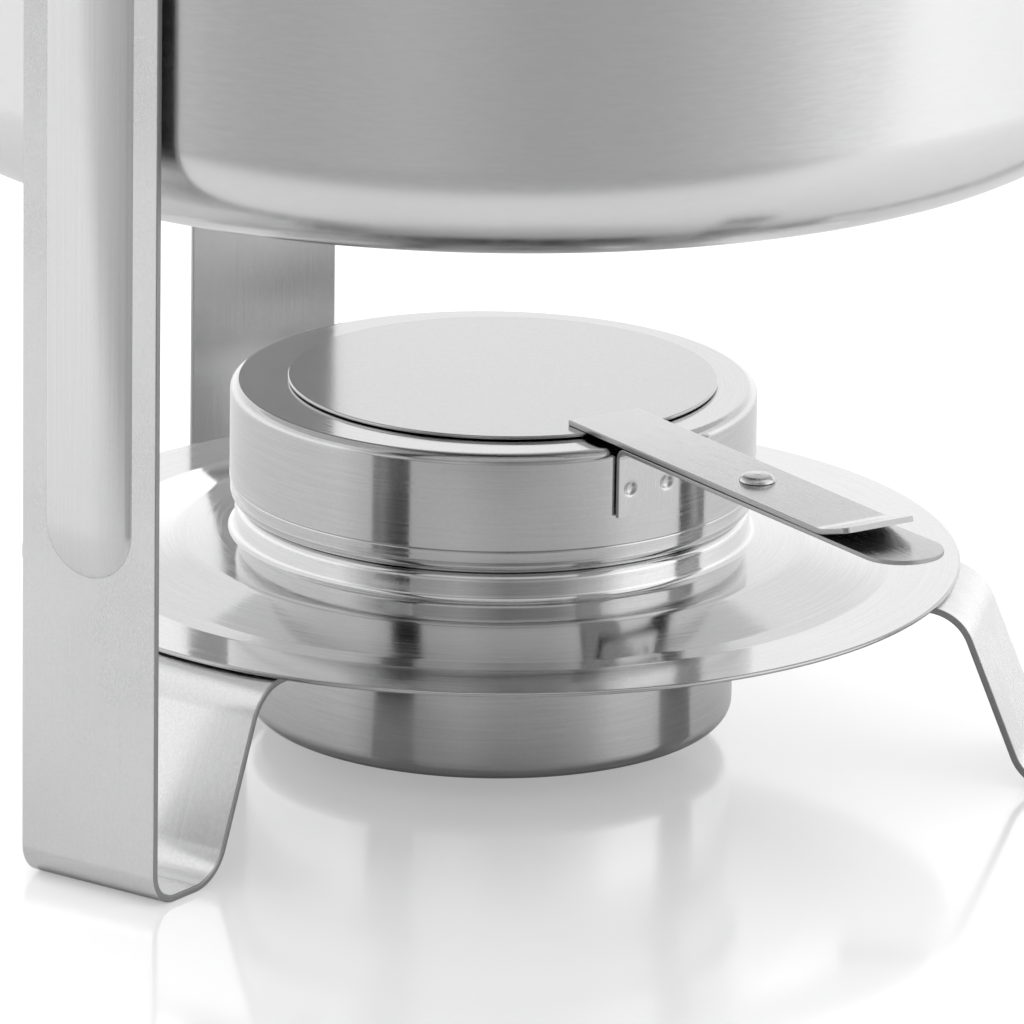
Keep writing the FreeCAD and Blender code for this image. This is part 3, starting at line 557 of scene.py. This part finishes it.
def make_spun_grain():
    """Lines left by turning: noise of the distance from the axis and the height, drawn out round it."""
    settings = {"Lines per metre": 2500.0, "Breaks": 6.0}
    group, given, result = node_group("spun_grain", settings, ["Grain"])
    place = group.nodes.new("ShaderNodeTexCoord")
    split = group.nodes.new("ShaderNodeSeparateXYZ")
    group.links.new(place.outputs["Object"], split.inputs[0])
    x, y, z = split.outputs
    radius = number(group, "SQRT", number(group, "ADD", number(group, "MULTIPLY", x, x),
                                          number(group, "MULTIPLY", y, y)))
    safe = number(group, "MAXIMUM", radius, 1e-5)
    cosine = number(group, "MULTIPLY", number(group, "DIVIDE", x, safe), given.outputs["Breaks"])
    sine = number(group, "MULTIPLY", number(group, "DIVIDE", y, safe), given.outputs["Breaks"])
    reach = number(group, "SUBTRACT", radius, number(group, "MULTIPLY", z, SPUN_HEIGHT_SHARE))
    lines = number(group, "MULTIPLY", reach, given.outputs["Lines per metre"])
    group.links.new(noise(group, combine(group, cosine, sine, lines)), result.inputs["Grain"])
    return group


def make_handling_marks():
    """Faint cloudy marks left by hands and cloths: two sizes of soft noise, kept where strongest."""
    group, given, result = node_group("handling_marks", {"Patches per metre": 14.0}, ["Marks"])
    place = scaled_place(group, given.outputs["Patches per metre"])
    broad = noise(group, place, detail=2.0, roughness=0.5)
    fine = noise(group, place, detail=5.0, roughness=0.7, scale=5.3)
    both = number(group, "MULTIPLY", spread(group, broad, 0.42, 0.68, 0.0, 1.0),
                  graded(group, fine, 0.3, 1.0))
    group.links.new(both, result.inputs["Marks"])
    return group


def make_fine_pits():
    """The bloom of a satin finish: dense small noise the same in every direction."""
    group, given, result = node_group("fine_pits", {"Pits per metre": 1800.0}, ["Pits"])
    place = scaled_place(group, given.outputs["Pits per metre"])
    group.links.new(noise(group, place, detail=2.0, roughness=0.6), result.inputs["Pits"])
    return group


LONG_GRAIN = make_long_grain()
SPUN_GRAIN = make_spun_grain()
HANDLING_MARKS = make_handling_marks()
FINE_PITS = make_fine_pits()


def placed(tree, group, **values):
    """First output of a node group, with its named inputs set."""
    node = tree.nodes.new("ShaderNodeGroup")
    node.node_tree = group
    for label, value in values.items():
        node.inputs[label.replace("_", " ")].default_value = value
    return node.outputs[0]


def steel(name, tone, rough, grain, grain_rough=0.06, grain_tone=0.03, pits=0.02, marks=0.05, bump=0.06,
          edge_tone=0.75):
    """Stainless steel: tone and roughness vary with grain, pits and handling marks; cut edges are duller."""
    material = bpy.data.materials.new(name)
    material.use_nodes = True
    tree = material.node_tree
    shader = tree.nodes["Principled BSDF"]
    shader.inputs["Metallic"].default_value = 1.0
    group, values = grain
    lines = placed(tree, group, **values)
    specks = placed(tree, FINE_PITS)
    hands = placed(tree, HANDLING_MARKS)
    cut = tree.nodes.new("ShaderNodeAttribute")
    cut.attribute_name = "cut_edge"
    sheen = number(tree, "ADD", graded(tree, lines, tone - grain_tone, tone + grain_tone),
                   graded(tree, specks, -pits, pits))
    sheen = number(tree, "SUBTRACT", sheen, number(tree, "MULTIPLY", hands, marks * MARK_TONE))
    sheen = number(tree, "MULTIPLY", sheen, spread(tree, cut.outputs["Fac"], 0.0, 1.0, 1.0, edge_tone))
    colour = combine(tree, sheen, sheen, number(tree, "MULTIPLY", sheen, COOL))
    tree.links.new(colour, shader.inputs["Base Color"])
    dull = number(tree, "ADD", graded(tree, lines, rough - grain_rough, rough + grain_rough),
                  number(tree, "MULTIPLY", hands, marks))
    dull = number(tree, "ADD", dull, spread(tree, cut.outputs["Fac"], 0.0, 1.0, 0.0, CUT_DULL))
    tree.links.new(number(tree, "MAXIMUM", dull, 0.015), shader.inputs["Roughness"])
    height = number(tree, "ADD", number(tree, "MULTIPLY", lines, GRAIN_SHARE),
                    number(tree, "MULTIPLY", specks, 1.0 - GRAIN_SHARE))
    relief = tree.nodes.new("ShaderNodeBump")
    relief.inputs["Strength"].default_value = bump
    relief.inputs["Distance"].default_value = RELIEF_DEPTH
    tree.links.new(height, relief.inputs["Height"])
    tree.links.new(relief.outputs[0], shader.inputs["Normal"])
    return material


def plastic(name, colour, rough, speck):
    """Moulded plastic or rubber with a faint mottled colour and a fine dull texture."""
    material = bpy.data.materials.new(name)
    material.use_nodes = True
    tree = material.node_tree
    shader = tree.nodes["Principled BSDF"]
    specks = placed(tree, FINE_PITS)
    tones = [graded(tree, specks, c * (1 - speck), c * (1 + speck)) for c in colour]
    tree.links.new(combine(tree, *tones), shader.inputs["Base Color"])
    tree.links.new(graded(tree, specks, rough - 0.05, rough + 0.05), shader.inputs["Roughness"])
    return material


def long_grain(lines, breaks):
    """Grain along a strip: the group and its settings."""
    return LONG_GRAIN, {"Lines_per_metre": lines, "Breaks_per_metre": breaks}


def spun_grain(lines, breaks):
    """Grain round the axis: the group and its settings."""
    return SPUN_GRAIN, {"Lines_per_metre": lines, "Breaks": breaks}


leg_steel = steel("leg_steel", 0.78, 0.20, long_grain(2600.0, 25.0), grain_rough=0.02, grain_tone=0.014,
                  pits=0.035, marks=0.13, bump=0.03, edge_tone=0.45)
trim_steel = steel("trim_steel", 0.80, 0.10, long_grain(1800.0, 12.0), grain_rough=0.03, marks=0.10)
pan_steel = steel("pan_steel", 0.86, 0.20, spun_grain(1500.0, 30.0), grain_rough=0.03, grain_tone=0.01,
                  pits=0.012)
inner_steel = steel("inner_steel", 0.78, 0.22, spun_grain(2200.0, 8.0))
shelf_steel = steel("shelf_steel", 0.70, 0.10, spun_grain(2600.0, 3.0), grain_rough=0.05, bump=0.10)
cup_steel = steel("cup_steel", 0.60, 0.10, spun_grain(2600.0, 3.0), grain_rough=0.05, bump=0.08)
disc_steel = steel("disc_steel", 0.53, 0.13, spun_grain(1800.0, 40.0), grain_rough=0.02, grain_tone=0.01,
                   marks=0.02)
grip_steel = steel("grip_steel", 0.62, 0.22, long_grain(3000.0, 90.0))
dome_steel = steel("dome_steel", 0.66, 0.05, spun_grain(1200.0, 5.0), grain_rough=0.015, grain_tone=0.01,
                   bump=0.02)
fitting_steel = steel("fitting_steel", 0.68, 0.15, spun_grain(2000.0, 20.0))
nylon = plastic("nylon_natural", (0.80, 0.79, 0.75), 0.5, 0.04)
silicone = plastic("silicone_grey", (0.45, 0.45, 0.44), 0.6, 0.06)
SLOT_MATERIALS = {"satin_steel": grip_steel, "polished_steel": fitting_steel, "mirror_steel": dome_steel,
                  "nylon": nylon, "silicone": silicone}


# ---- legs --------------------------------------------------------------------------------------------------
def build_leg(name, azimuth):
    """One strip bent under the foot and up to a tab."""
    tab_under_z = shelf_under_z - leg_sheet
    web_top_r = leg_face_r - foot_reach - tab_under_z / math.tan(math.radians(web_angle))
    skin = [(leg_face_r, leg_top_z), (leg_face_r, 0.0), (leg_face_r - foot_reach, 0.0),
            (web_top_r, tab_under_z), (shelf_r - tab_under, tab_under_z)]
    bends = [foot_heel, foot_toe, web_bend]
    grids = strip(skin, bends, leg_sheet, azimuth, lambda s: leg_width / 2 + 0 * s, columns=6)
    piece(f"leg_{name}_strip", grids, f"leg_{name}", leg_steel)


def build_trim(name, azimuth):
    """Raised trim: a slot outline shrunk by d towards its middle line, at a height that depends on d.

    The height is a quarter ellipse over the first edge width, plus a crown that falls with the square of the
    distance from the middle line."""
    half = leg_width / 2 - trim_margin
    low, high = trim_foot_z + half, leg_top_z - trim_top_gap - half
    a = np.radians(np.linspace(0, 180, 33))
    run = np.linspace(0, 1, 25)[1:-1]
    angle = np.concatenate([-a[::-1], 0 * run, a, 0 * run + math.pi, [-math.pi]])
    middle = np.concatenate([0 * a + low, low + (high - low) * run, 0 * a + high,
                             high - (high - low) * run, [low]])
    inset = np.concatenate([trim_edge_round * (1 - np.cos(np.radians(np.linspace(0, 90, 9)))),
                            np.linspace(trim_edge_round, half, 14)[1:]])
    share = np.clip(inset / trim_edge_round, 0, 1)
    round_rise = trim_edge * np.sqrt(1 - (1 - share) ** 2)
    height = round_rise + trim_crown * (1 - ((half - inset) / half) ** 2)
    slope = trim_edge / trim_edge_round * (1 - share) / np.sqrt(np.maximum(1 - (1 - share) ** 2, 1e-3))
    slope = slope + trim_crown * 2 * (half - inset) / half ** 2
    aside, upward = np.cos(angle)[:, None], np.sin(angle)[:, None]
    out, side = outward(azimuth), sideways(azimuth)
    reach = half - inset
    points = ((aside * reach)[..., None] * side + (middle[:, None] + upward * reach)[..., None] * UP
              + np.broadcast_to(leg_face_r + height, (len(angle), len(inset)))[..., None] * out)
    normals = out + slope[None, :, None] * (aside[..., None] * side + upward[..., None] * UP)
    normals = normals / np.linalg.norm(normals, axis=2)[..., None]
    uv = np.stack([aside * reach * MM, (middle[:, None] + upward * reach) * MM], 2)
    piece(f"leg_trim_{name}_face", [{"points": points, "normals": normals, "uv": uv}], f"leg_trim_{name}",
          trim_steel)


# ---- pans and ring -----------------------------------------------------------------------------------------
def build_pans_and_ring():
    """Three spun or rolled sheets, each a bent outline turned round the axis."""
    water = [(0, pan_bottom_z), (pan_r, pan_bottom_z), (pan_r, collar_z), (rim_r, collar_z)]
    loop = sheet_loop(water, [pan_corner, rim_corner], -pan_sheet, from_axis=True)
    piece("water_pan_sheet", [lathe(loop, turns=256)], "water_pan", pan_steel)
    wall = pan_r - pan_sheet - food_gap - food_sheet
    top_z = collar_z + pan_sheet + food_sheet
    floor_z = top_z - food_depth
    food = [(0, floor_z), (wall, floor_z), (wall, top_z), (food_edge_r, top_z),
            (food_edge_r, collar_z + food_lip_gap)]
    bends = [food_corner - food_sheet, rim_corner, food_lip_corner]
    loop = sheet_loop(food, bends, food_sheet, from_axis=True)
    piece("food_pan_sheet", [lathe(loop, turns=256)], "food_pan", inner_steel)
    ring = [(band_in_r, collar_z - ring_height), (band_in_r, collar_z), (collar_r, collar_z),
            (collar_r, collar_z - collar_lip)]
    loop = sheet_loop(ring, [ring_corner, lip_corner], ring_sheet)
    piece("carrier_ring_sheet", [lathe(loop, turns=256)], "carrier_ring", inner_steel)


# ---- burner ------------------------------------------------------------------------------------------------
def build_shelf():
    """Dished ring with an upstand round its hole."""
    upstand_r = shoulder_r - shelf_upstand_in
    band = shelf_r - shelf_band
    skin = [(cup_r + shelf_hole_gap, upstand_top_z), (upstand_r, upstand_top_z), (upstand_r, shelf_neck_z),
            (upstand_r + dish_brow_share * (band - upstand_r), shelf_neck_z - dish_brow_fall),
            (band - dish_toe_run, shelf_rim_z + dish_toe_rise), (band, shelf_rim_z), (shelf_r, shelf_rim_z)]
    bends = [shelf_hole_bend, shelf_neck_bend, dish_brow_bend, dish_toe_bend, band_bend]
    loop = sheet_loop(skin, bends, shelf_sheet)
    piece("burner_shelf_sheet", [lathe(loop, turns=256)], "burner_shelf", shelf_steel)


def build_cup_and_cover():
    """Drawn cup with its shoulder and neck, and the skirted cover with the flame hole."""
    skin = [(0, cup_bottom_z), (cup_r, cup_bottom_z), (cup_r, upstand_top_z), (shoulder_r, upstand_top_z),
            (shoulder_r, shoulder_top_z), (neck_r, shoulder_top_z), (neck_r, shoulder_top_z + neck_height)]
    bends = [cup_corner, shoulder_fillet, shoulder_bend, shoulder_edge, neck_fillet]
    loop = sheet_loop(skin, bends, -cup_sheet, from_axis=True)
    piece("fuel_cup_sheet", [lathe(loop)], "fuel_cup", cup_steel)
    skin = [(cover_r, shoulder_top_z), (cover_r, cover_top_z), (flame_hole_r, cover_top_z),
            (flame_hole_r, cover_top_z - flame_hole_lip)]
    loop = sheet_loop(skin, [cover_corner, flame_hole_bend], -cover_sheet)
    piece("burner_cover_sheet", [lathe(loop)], "burner_cover", cup_steel)


def weld_dots(x, s):
    """Two round dents in the plate, each a bell curve of the distance from its middle."""
    up = arm_plate_height * weld_dot_share
    near = [np.exp(-(((x - side * weld_dot_pitch / 2) ** 2 + (s - up) ** 2) / weld_dot_r ** 2) ** 2)
            for side in (-1, 1)]
    return -weld_dot_depth * (near[0] + near[1])


def build_bracket():
    """Plate on the cover, bent out into the fixed grip."""
    arm_top_z = arm_under_z + arm_sheet
    arm_end_r = cover_r + arm_reach
    skin = [(cover_r, arm_under_z - arm_plate_height), (cover_r, arm_top_z), (arm_end_r, arm_top_z)]
    total = arc_line(skin, [arm_bend], STRIP_STEP)[2][-1]
    dented = np.arange(DENT_STEP, arm_plate_height - arm_bend, DENT_STEP)
    extra = np.concatenate([dented, end_stations(total, arm_end_corner)])
    stations = [(arm_plate_height + arm_flare_from, arm_plate_width),
                (arm_plate_height + arm_flare_to, arm_width)]
    grids = strip(skin, [arm_bend], arm_sheet, arm_angle, rounded_end(stations, arm_end_corner, total),
                  extra=extra, relief=weld_dots, columns=60)
    piece("cover_bracket_strip", grids, "cover_bracket", grip_steel)


def build_snuffer():
    """Upper grip with its curled end, the disc under it, and the domed rivet head."""
    rise = math.radians(lever_lip_rise)
    skin = [(-lever_inner, lever_under_z), (lever_outer, lever_under_z),
            (lever_outer + lever_lip * math.cos(rise), lever_under_z + lever_lip * math.sin(rise))]
    total = arc_line(skin, [lever_lip_bend], STRIP_STEP)[2][-1]
    rivet = outward(arm_angle) * rivet_at
    grids = strip(skin, [lever_lip_bend], -lever_sheet, arm_angle + lever_skew,
                  rounded_end([(0, arm_width)], lever_end_corner, total), centre=rivet[:2],
                  extra=end_stations(total, lever_end_corner), columns=6)
    piece("snuffer_lever_strip", grids, "snuffer_lever", grip_steel)
    low = lever_under_z - disc_sheet
    disc = [(0, low), (disc_r, low), (disc_r, lever_under_z), (0, lever_under_z)]
    loop = solid_loop(disc, [disc_edge_round, disc_edge_round], 15.0)
    piece("snuffer_disc_plate", [lathe(loop, base=(disc_off_axis, 0, 0))], "snuffer_disc", disc_steel)
    top = lever_under_z + lever_sheet + rivet_slip
    dome_at = (rivet_head_r * rivet_head_shoulder, top + rivet_head_h * rivet_head_shoulder)
    head = [(0, top), (rivet_head_r, top), dome_at, (0, top + rivet_head_h)]
    tail_z = arm_under_z - rivet_tail_h
    tail = [(0, tail_z), (rivet_tail_r, tail_z), (rivet_tail_r, arm_under_z), (0, arm_under_z)]
    loops = solid_loop(head, [rivet_head_foot, rivet_head_bend]), solid_loop(tail, [rivet_tail_bend,
                                                                                    rivet_tail_foot])
    grids = [lathe(loop, base=rivet, turns=48) for loop in loops]
    piece("snuffer_rivet_ends", grids, "snuffer_rivet", grip_steel)


# ---- dome --------------------------------------------------------------------------------------------------
def dome_shell(inner, front, low_z, overlap, hole_r):
    """Part of a thin ball round the pivots, as grids.

    A place is the ball's radius times (cos a, -sin a cos t, sin a sin t): a is the angle from the +X pole
    and t the angle of roll from the level front. t runs from the lower edge, where the height is low_z, to
    overlap past the top. Round ears of the whole turn surround the poles. The rear is the mirror in Y."""
    outer, mid, half = inner + dome_sheet, inner + dome_sheet / 2, dome_sheet / 2
    flip = np.array([1.0, 1.0 if front else -1.0, 1.0])
    top = math.radians(90 + overlap)
    floor = math.radians(overlap - 90)
    drop = pivot_z - low_z

    def toward(a, t):
        """Unit vector from the middle of the ball to the place at those angles."""
        return np.stack([np.cos(a), -np.sin(a) * np.cos(t), np.sin(a) * np.sin(t)], -1) * flip

    def along_roll(a, t):
        """Unit vector in which a place moves as t grows."""
        return np.stack([0 * a * t, np.sin(t) + 0 * a, np.cos(t) + 0 * a], -1) * flip

    def from_pole(a, t):
        """Unit vector in which a place moves as a grows."""
        return np.stack([-np.sin(a) + 0 * t, -np.cos(a) * np.cos(t), np.cos(a) * np.sin(t)], -1) * flip

    def skins(a, t):
        """Outer and inner skin over a grid of angles."""
        d = toward(a, t)
        return [{"points": PIVOT + outer * d, "normals": d}, {"points": PIVOT + inner * d, "normals": -d}]

    def rim(d, away):
        """Half round edge between the skins, bulging towards away."""
        turn = np.linspace(0, math.pi, 7)[None, :, None]
        normal = np.cos(turn) * d[:, None] + np.sin(turn) * away[:, None]
        return {"points": PIVOT + mid * d[:, None] + half * normal, "normals": normal,
                "cut": np.ones(normal.shape[:2])}

    ear = math.asin(ear_r / mid)
    hole = math.asin(hole_r / mid)
    a = np.linspace(ear, math.pi - ear, DOME_ACROSS)[:, None]
    lowest = np.maximum(floor, -np.arcsin(np.minimum(drop / (mid * np.sin(a)), 1.0)))
    share = np.linspace(0, 1, DOME_ALONG)[None, :]
    t = lowest + (top - lowest) * share
    grids = skins(np.broadcast_to(a, t.shape), t)
    grids.append(rim(toward(a[:, 0], np.full(len(a), top)), along_roll(a[:, 0], np.full(len(a), top))))
    low_edge = toward(a[:, 0], lowest[:, 0])
    if front:
        grids.append(bead(PIVOT + mid * low_edge))
    else:
        grids.append(rim(low_edge, -along_roll(a[:, 0], lowest[:, 0])))
    for pole in (0.0, math.pi):
        sign = 1 if pole == 0 else -1
        a_ear = pole + sign * np.linspace(hole, ear, EAR_RINGS)[:, None]
        turn = np.linspace(top - TURN, top, DOME_ALONG)[None, :]
        grids += skins(*np.broadcast_arrays(a_ear, turn))
        free = np.linspace(top, floor + TURN, EAR_ROUND)
        at = np.full(len(free), a_ear[-1, 0])
        grids.append(rim(toward(at, free), sign * from_pole(at, free)))
        ring = np.linspace(0, TURN, EAR_ROUND)
        at = np.full(len(ring), a_ear[0, 0])
        grids.append(rim(toward(at, ring), -sign * from_pole(at, ring)))
    return grids


def bead(path):
    """Rolled bead: a circle of the bead's radius square to the path at each of its places."""
    ahead = np.gradient(path, axis=0)
    ahead /= np.linalg.norm(ahead, axis=1)[:, None]
    first = np.cross(ahead, UP)
    first /= np.linalg.norm(first, axis=1)[:, None]
    second = np.cross(ahead, first)
    a = np.linspace(0, TURN, 17)[None, :, None]
    normal = np.cos(a) * first[:, None] + np.sin(a) * second[:, None]
    return {"points": path[:, None] + bead_r * normal, "normals": normal}


def build_dome():
    """Fixed rear shell, rolling front shell, and the bow handle."""
    rear = dome_shell(rear_r, False, collar_z, rear_overlap, pin_r)
    piece("dome_rear_shell", rear, "dome_rear", dome_steel)
    front = dome_shell(front_r, True, collar_z + dome_seat_gap + bead_r * bead_up_share, front_overlap, pin_r)
    piece("dome_front_shell", front, "dome_front", dome_steel)
    tilt = math.radians(handle_tilt)
    out = np.array([0.0, -math.cos(tilt), math.sin(tilt)])
    base = math.sqrt(front_out_r ** 2 - (handle_span / 2) ** 2) + ferrule_height
    top = front_out_r + handle_stand
    half = handle_span / 2
    bow = [(-half, base), (-half, top), (half, top), (half, base)]
    bar = tube(bow, [handle_bend, handle_bend], handle_bar_r,
               lambda p: PIVOT + np.array([p[0], 0.0, 0.0]) + out * p[1], np.cross([1.0, 0.0, 0.0], out))
    cap = [(0, 0), (handle_bar_r, 0), (handle_bar_r, handle_end_depth), (0, handle_end_depth)]
    loop = solid_loop(cap, [handle_end_round, handle_end_round])
    ends = [lathe(loop, base=PIVOT + np.array([side * half, 0, 0]) + out * (base - handle_end_round),
                  axis=out, turns=24) for side in (-1, 1)]
    piece("handle_bar_bow", [bar] + ends, "handle_bar", dome_steel)


def build_knobs():
    """Turned caps on the pivots: an outline turned round the pivot's line."""
    for name, side in (("left", -1.0), ("right", 1.0)):
        base = PIVOT + np.array([side * (collar_r + plate_sheet), 0.0, 0.0])
        outline = [(0, 0), (knob_waist_r, 0), (knob_waist_r, knob_waist_h)]
        outline += [(share * knob_r, height) for share, height in knob_swell]
        outline += [(knob_face_r + (knob_r - knob_face_r) * math.cos(a),
                     knob_crown_from + (knob_length - knob_crown_from) * math.sin(a))
                    for a in np.radians(range(0, 91, 15))]
        outline += [(0, knob_length)]
        loop = solid_loop(outline, [knob_round] * (len(outline) - 2))
        piece(f"pivot_knob_{name}_cap", [lathe(loop, base=base, axis=(side, 0, 0), turns=96)],
              f"pivot_knob_{name}", dome_steel)


def build_object():
    """Every drawn piece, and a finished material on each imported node."""
    for name, azimuth in leg_angles.items():
        build_leg(name, azimuth)
        build_trim(name, azimuth)
    build_pans_and_ring()
    build_shelf()
    build_cup_and_cover()
    build_bracket()
    build_snuffer()
    build_dome()
    build_knobs()
    for node, thing in frame["nodes"].items():
        thing.data.materials.clear()
        thing.data.materials.append(SLOT_MATERIALS[slot_of[node]])


# ---- surroundings ------------------------------------------------------------------------------------------
view_azimuth = -22.27
view_elevation = 16.95
view_roll = 0.90
view_distance = 2.2458
view_target = Vector((0.0040, -0.0017, 0.0492))
view_lens = 364.1
floor_painted_shade = (0.26, 0.36, 0.84, 0.50)   # metres in front of the axis, and the tone at each: painted shade, the floor's colour darkening in front where less light falls
floor_metal = 0.20
floor_reach = 6.0              # metres
floor_rough = (0.10, 0.13)
floor_glow = 0.36              # light that shines through the table towards the eye


def build_floor():
    """Pale glossy floor, a large flat disc whose colour darkens softly in front as painted shade, with a
    faint cloudy gloss.
    """
    a = np.linspace(0, TURN, 97)[:-1]
    ring = floor_reach * np.stack([np.cos(a), np.sin(a), 0 * a], 1)
    mesh = bpy.data.meshes.new("floor")
    mesh.from_pydata(ring.tolist(), [], [list(range(len(a)))])
    floor = bpy.data.objects.new("floor", mesh)
    bpy.context.scene.collection.objects.link(floor)
    material = bpy.data.materials.new("floor_lacquer")
    material.use_nodes = True
    tree = material.node_tree
    shader = tree.nodes["Principled BSDF"]
    place = tree.nodes.new("ShaderNodeTexCoord")
    ahead = tree.nodes.new("ShaderNodeVectorMath")
    ahead.operation = "DOT_PRODUCT"
    ahead.inputs[1].default_value = outward(view_azimuth)
    tree.links.new(place.outputs["Object"], ahead.inputs[0])
    # painted shade: the floor's colour darkens with the distance in front of the axis, standing in for light
    # falling off
    shade_ramp = tree.nodes.new("ShaderNodeMapRange")
    shade_ramp.interpolation_type = "SMOOTHSTEP"
    tree.links.new(ahead.outputs["Value"], shade_ramp.inputs["Value"])
    for label, setting in zip(("From Min", "From Max", "To Min", "To Max"), floor_painted_shade):
        shade_ramp.inputs[label].default_value = setting
    tone = shade_ramp.outputs["Result"]
    tree.links.new(combine(tree, tone, tone, tone), shader.inputs["Base Color"])
    shader.inputs["Metallic"].default_value = floor_metal
    eye = tree.nodes.new("ShaderNodeLightPath")
    shader.inputs["Emission Color"].default_value = (1.0, 1.0, 1.0, 1.0)
    glow = number(tree, "MULTIPLY", eye.outputs["Is Camera Ray"], floor_glow)
    tree.links.new(glow, shader.inputs["Emission Strength"])
    clouds = placed(tree, HANDLING_MARKS, Patches_per_metre=3.0)
    tree.links.new(spread(tree, clouds, 0.0, 1.0, *floor_rough), shader.inputs["Roughness"])
    mesh.materials.append(material)


# light level of the studio by bearing, in degrees from the viewer's side and growing to the right
LIGHT_BY_BEARING = [(-180, 1.05), (-125, 1.05), (-85, 1.00), (-70, 1.00), (-60, 0.70), (-50, 0.42),
                    (-36, 0.34), (-14, 0.46), (7, 0.24), (29, 0.31), (48, 0.64), (62, 1.25), (76, 1.35),
                    (96, 1.25), (130, 1.05), (180, 1.05)]
light_overhead = 1.05
low_gain = 1.25
high_gain = 0.92
gain_band = (0.20, 0.40)       # sine of the height above the horizon, from the low gain to the high
overhead_band = (0.45, 0.95)   # and from the level of the bearing to the overhead level


def build_world():
    """Soft studio: light behind and beside the object, dim on the viewer's side, plain white to the eye.

    The level at a direction is the level of its bearing, with a gain that falls from the horizon upwards, and
    it turns into the overhead level towards straight up."""
    world = bpy.data.worlds.new("studio")
    bpy.context.scene.world = world
    world.use_nodes = True
    tree = world.node_tree
    backdrop = tree.nodes["Background"]
    backdrop.inputs["Color"].default_value = (1.0, 1.0, 1.0, 1.0)
    place = tree.nodes.new("ShaderNodeTexCoord")
    split = tree.nodes.new("ShaderNodeSeparateXYZ")
    tree.links.new(place.outputs["Generated"], split.inputs[0])
    x, y, z = split.outputs
    front, side = outward(view_azimuth), sideways(view_azimuth)
    ahead = number(tree, "ADD", number(tree, "MULTIPLY", x, float(front[0])),
                   number(tree, "MULTIPLY", y, float(front[1])))
    aside = number(tree, "ADD", number(tree, "MULTIPLY", x, float(side[0])),
                   number(tree, "MULTIPLY", y, float(side[1])))
    bearing = number(tree, "ARCTAN2", aside, ahead)
    ramp = tree.nodes.new("ShaderNodeValToRGB")
    tree.links.new(spread(tree, bearing, -math.pi, math.pi, 0.0, 1.0), ramp.inputs[0])
    peak = max(level for _, level in LIGHT_BY_BEARING)
    stops = ramp.color_ramp.elements
    while len(stops) < len(LIGHT_BY_BEARING):
        stops.new(0.5)
    for stop, (degrees, level) in zip(stops, LIGHT_BY_BEARING):
        stop.position = (degrees + 180) / 360
        stop.color = (level / peak, level / peak, level / peak, 1.0)
    wall = number(tree, "MULTIPLY", ramp.outputs[0], peak)
    wall = number(tree, "MULTIPLY", wall, spread(tree, z, *gain_band, low_gain, high_gain))
    above = spread(tree, z, *overhead_band, 0.0, 1.0)
    lit = number(tree, "ADD", number(tree, "MULTIPLY", wall, number(tree, "SUBTRACT", 1.0, above)),
                 number(tree, "MULTIPLY", above, light_overhead))
    tree.links.new(lit, backdrop.inputs["Strength"])
    plain = tree.nodes.new("ShaderNodeBackground")
    plain.inputs["Color"].default_value = (1.0, 1.0, 1.0, 1.0)
    eye = tree.nodes.new("ShaderNodeLightPath")
    mix = tree.nodes.new("ShaderNodeMixShader")
    tree.links.new(eye.outputs["Is Camera Ray"], mix.inputs[0])
    tree.links.new(backdrop.outputs[0], mix.inputs[1])
    tree.links.new(plain.outputs[0], mix.inputs[2])
    tree.links.new(mix.outputs[0], tree.nodes["World Output"].inputs["Surface"])


def build_camera():
    """Long lens, low in front and to the left of the serving side, slightly rolled."""
    camera = bpy.data.objects.new("camera", bpy.data.cameras.new("camera"))
    bpy.context.scene.collection.objects.link(camera)
    level = math.radians(view_elevation)
    away = Vector(outward(view_azimuth) * math.cos(level) + UP * math.sin(level))
    camera.location = view_target + away * view_distance
    level_turn = (-away).to_track_quat("-Z", "Y")
    camera.rotation_euler = (level_turn @ Quaternion((0, 0, 1), math.radians(view_roll))).to_euler()
    camera.data.lens = view_lens
    camera.data.sensor_width = 36.0
    camera.data.clip_end = 50.0
    bpy.context.scene.camera = camera


build_object()
build_floor()
build_world()
build_camera()
bpy.context.scene.view_settings.view_transform = "Standard"
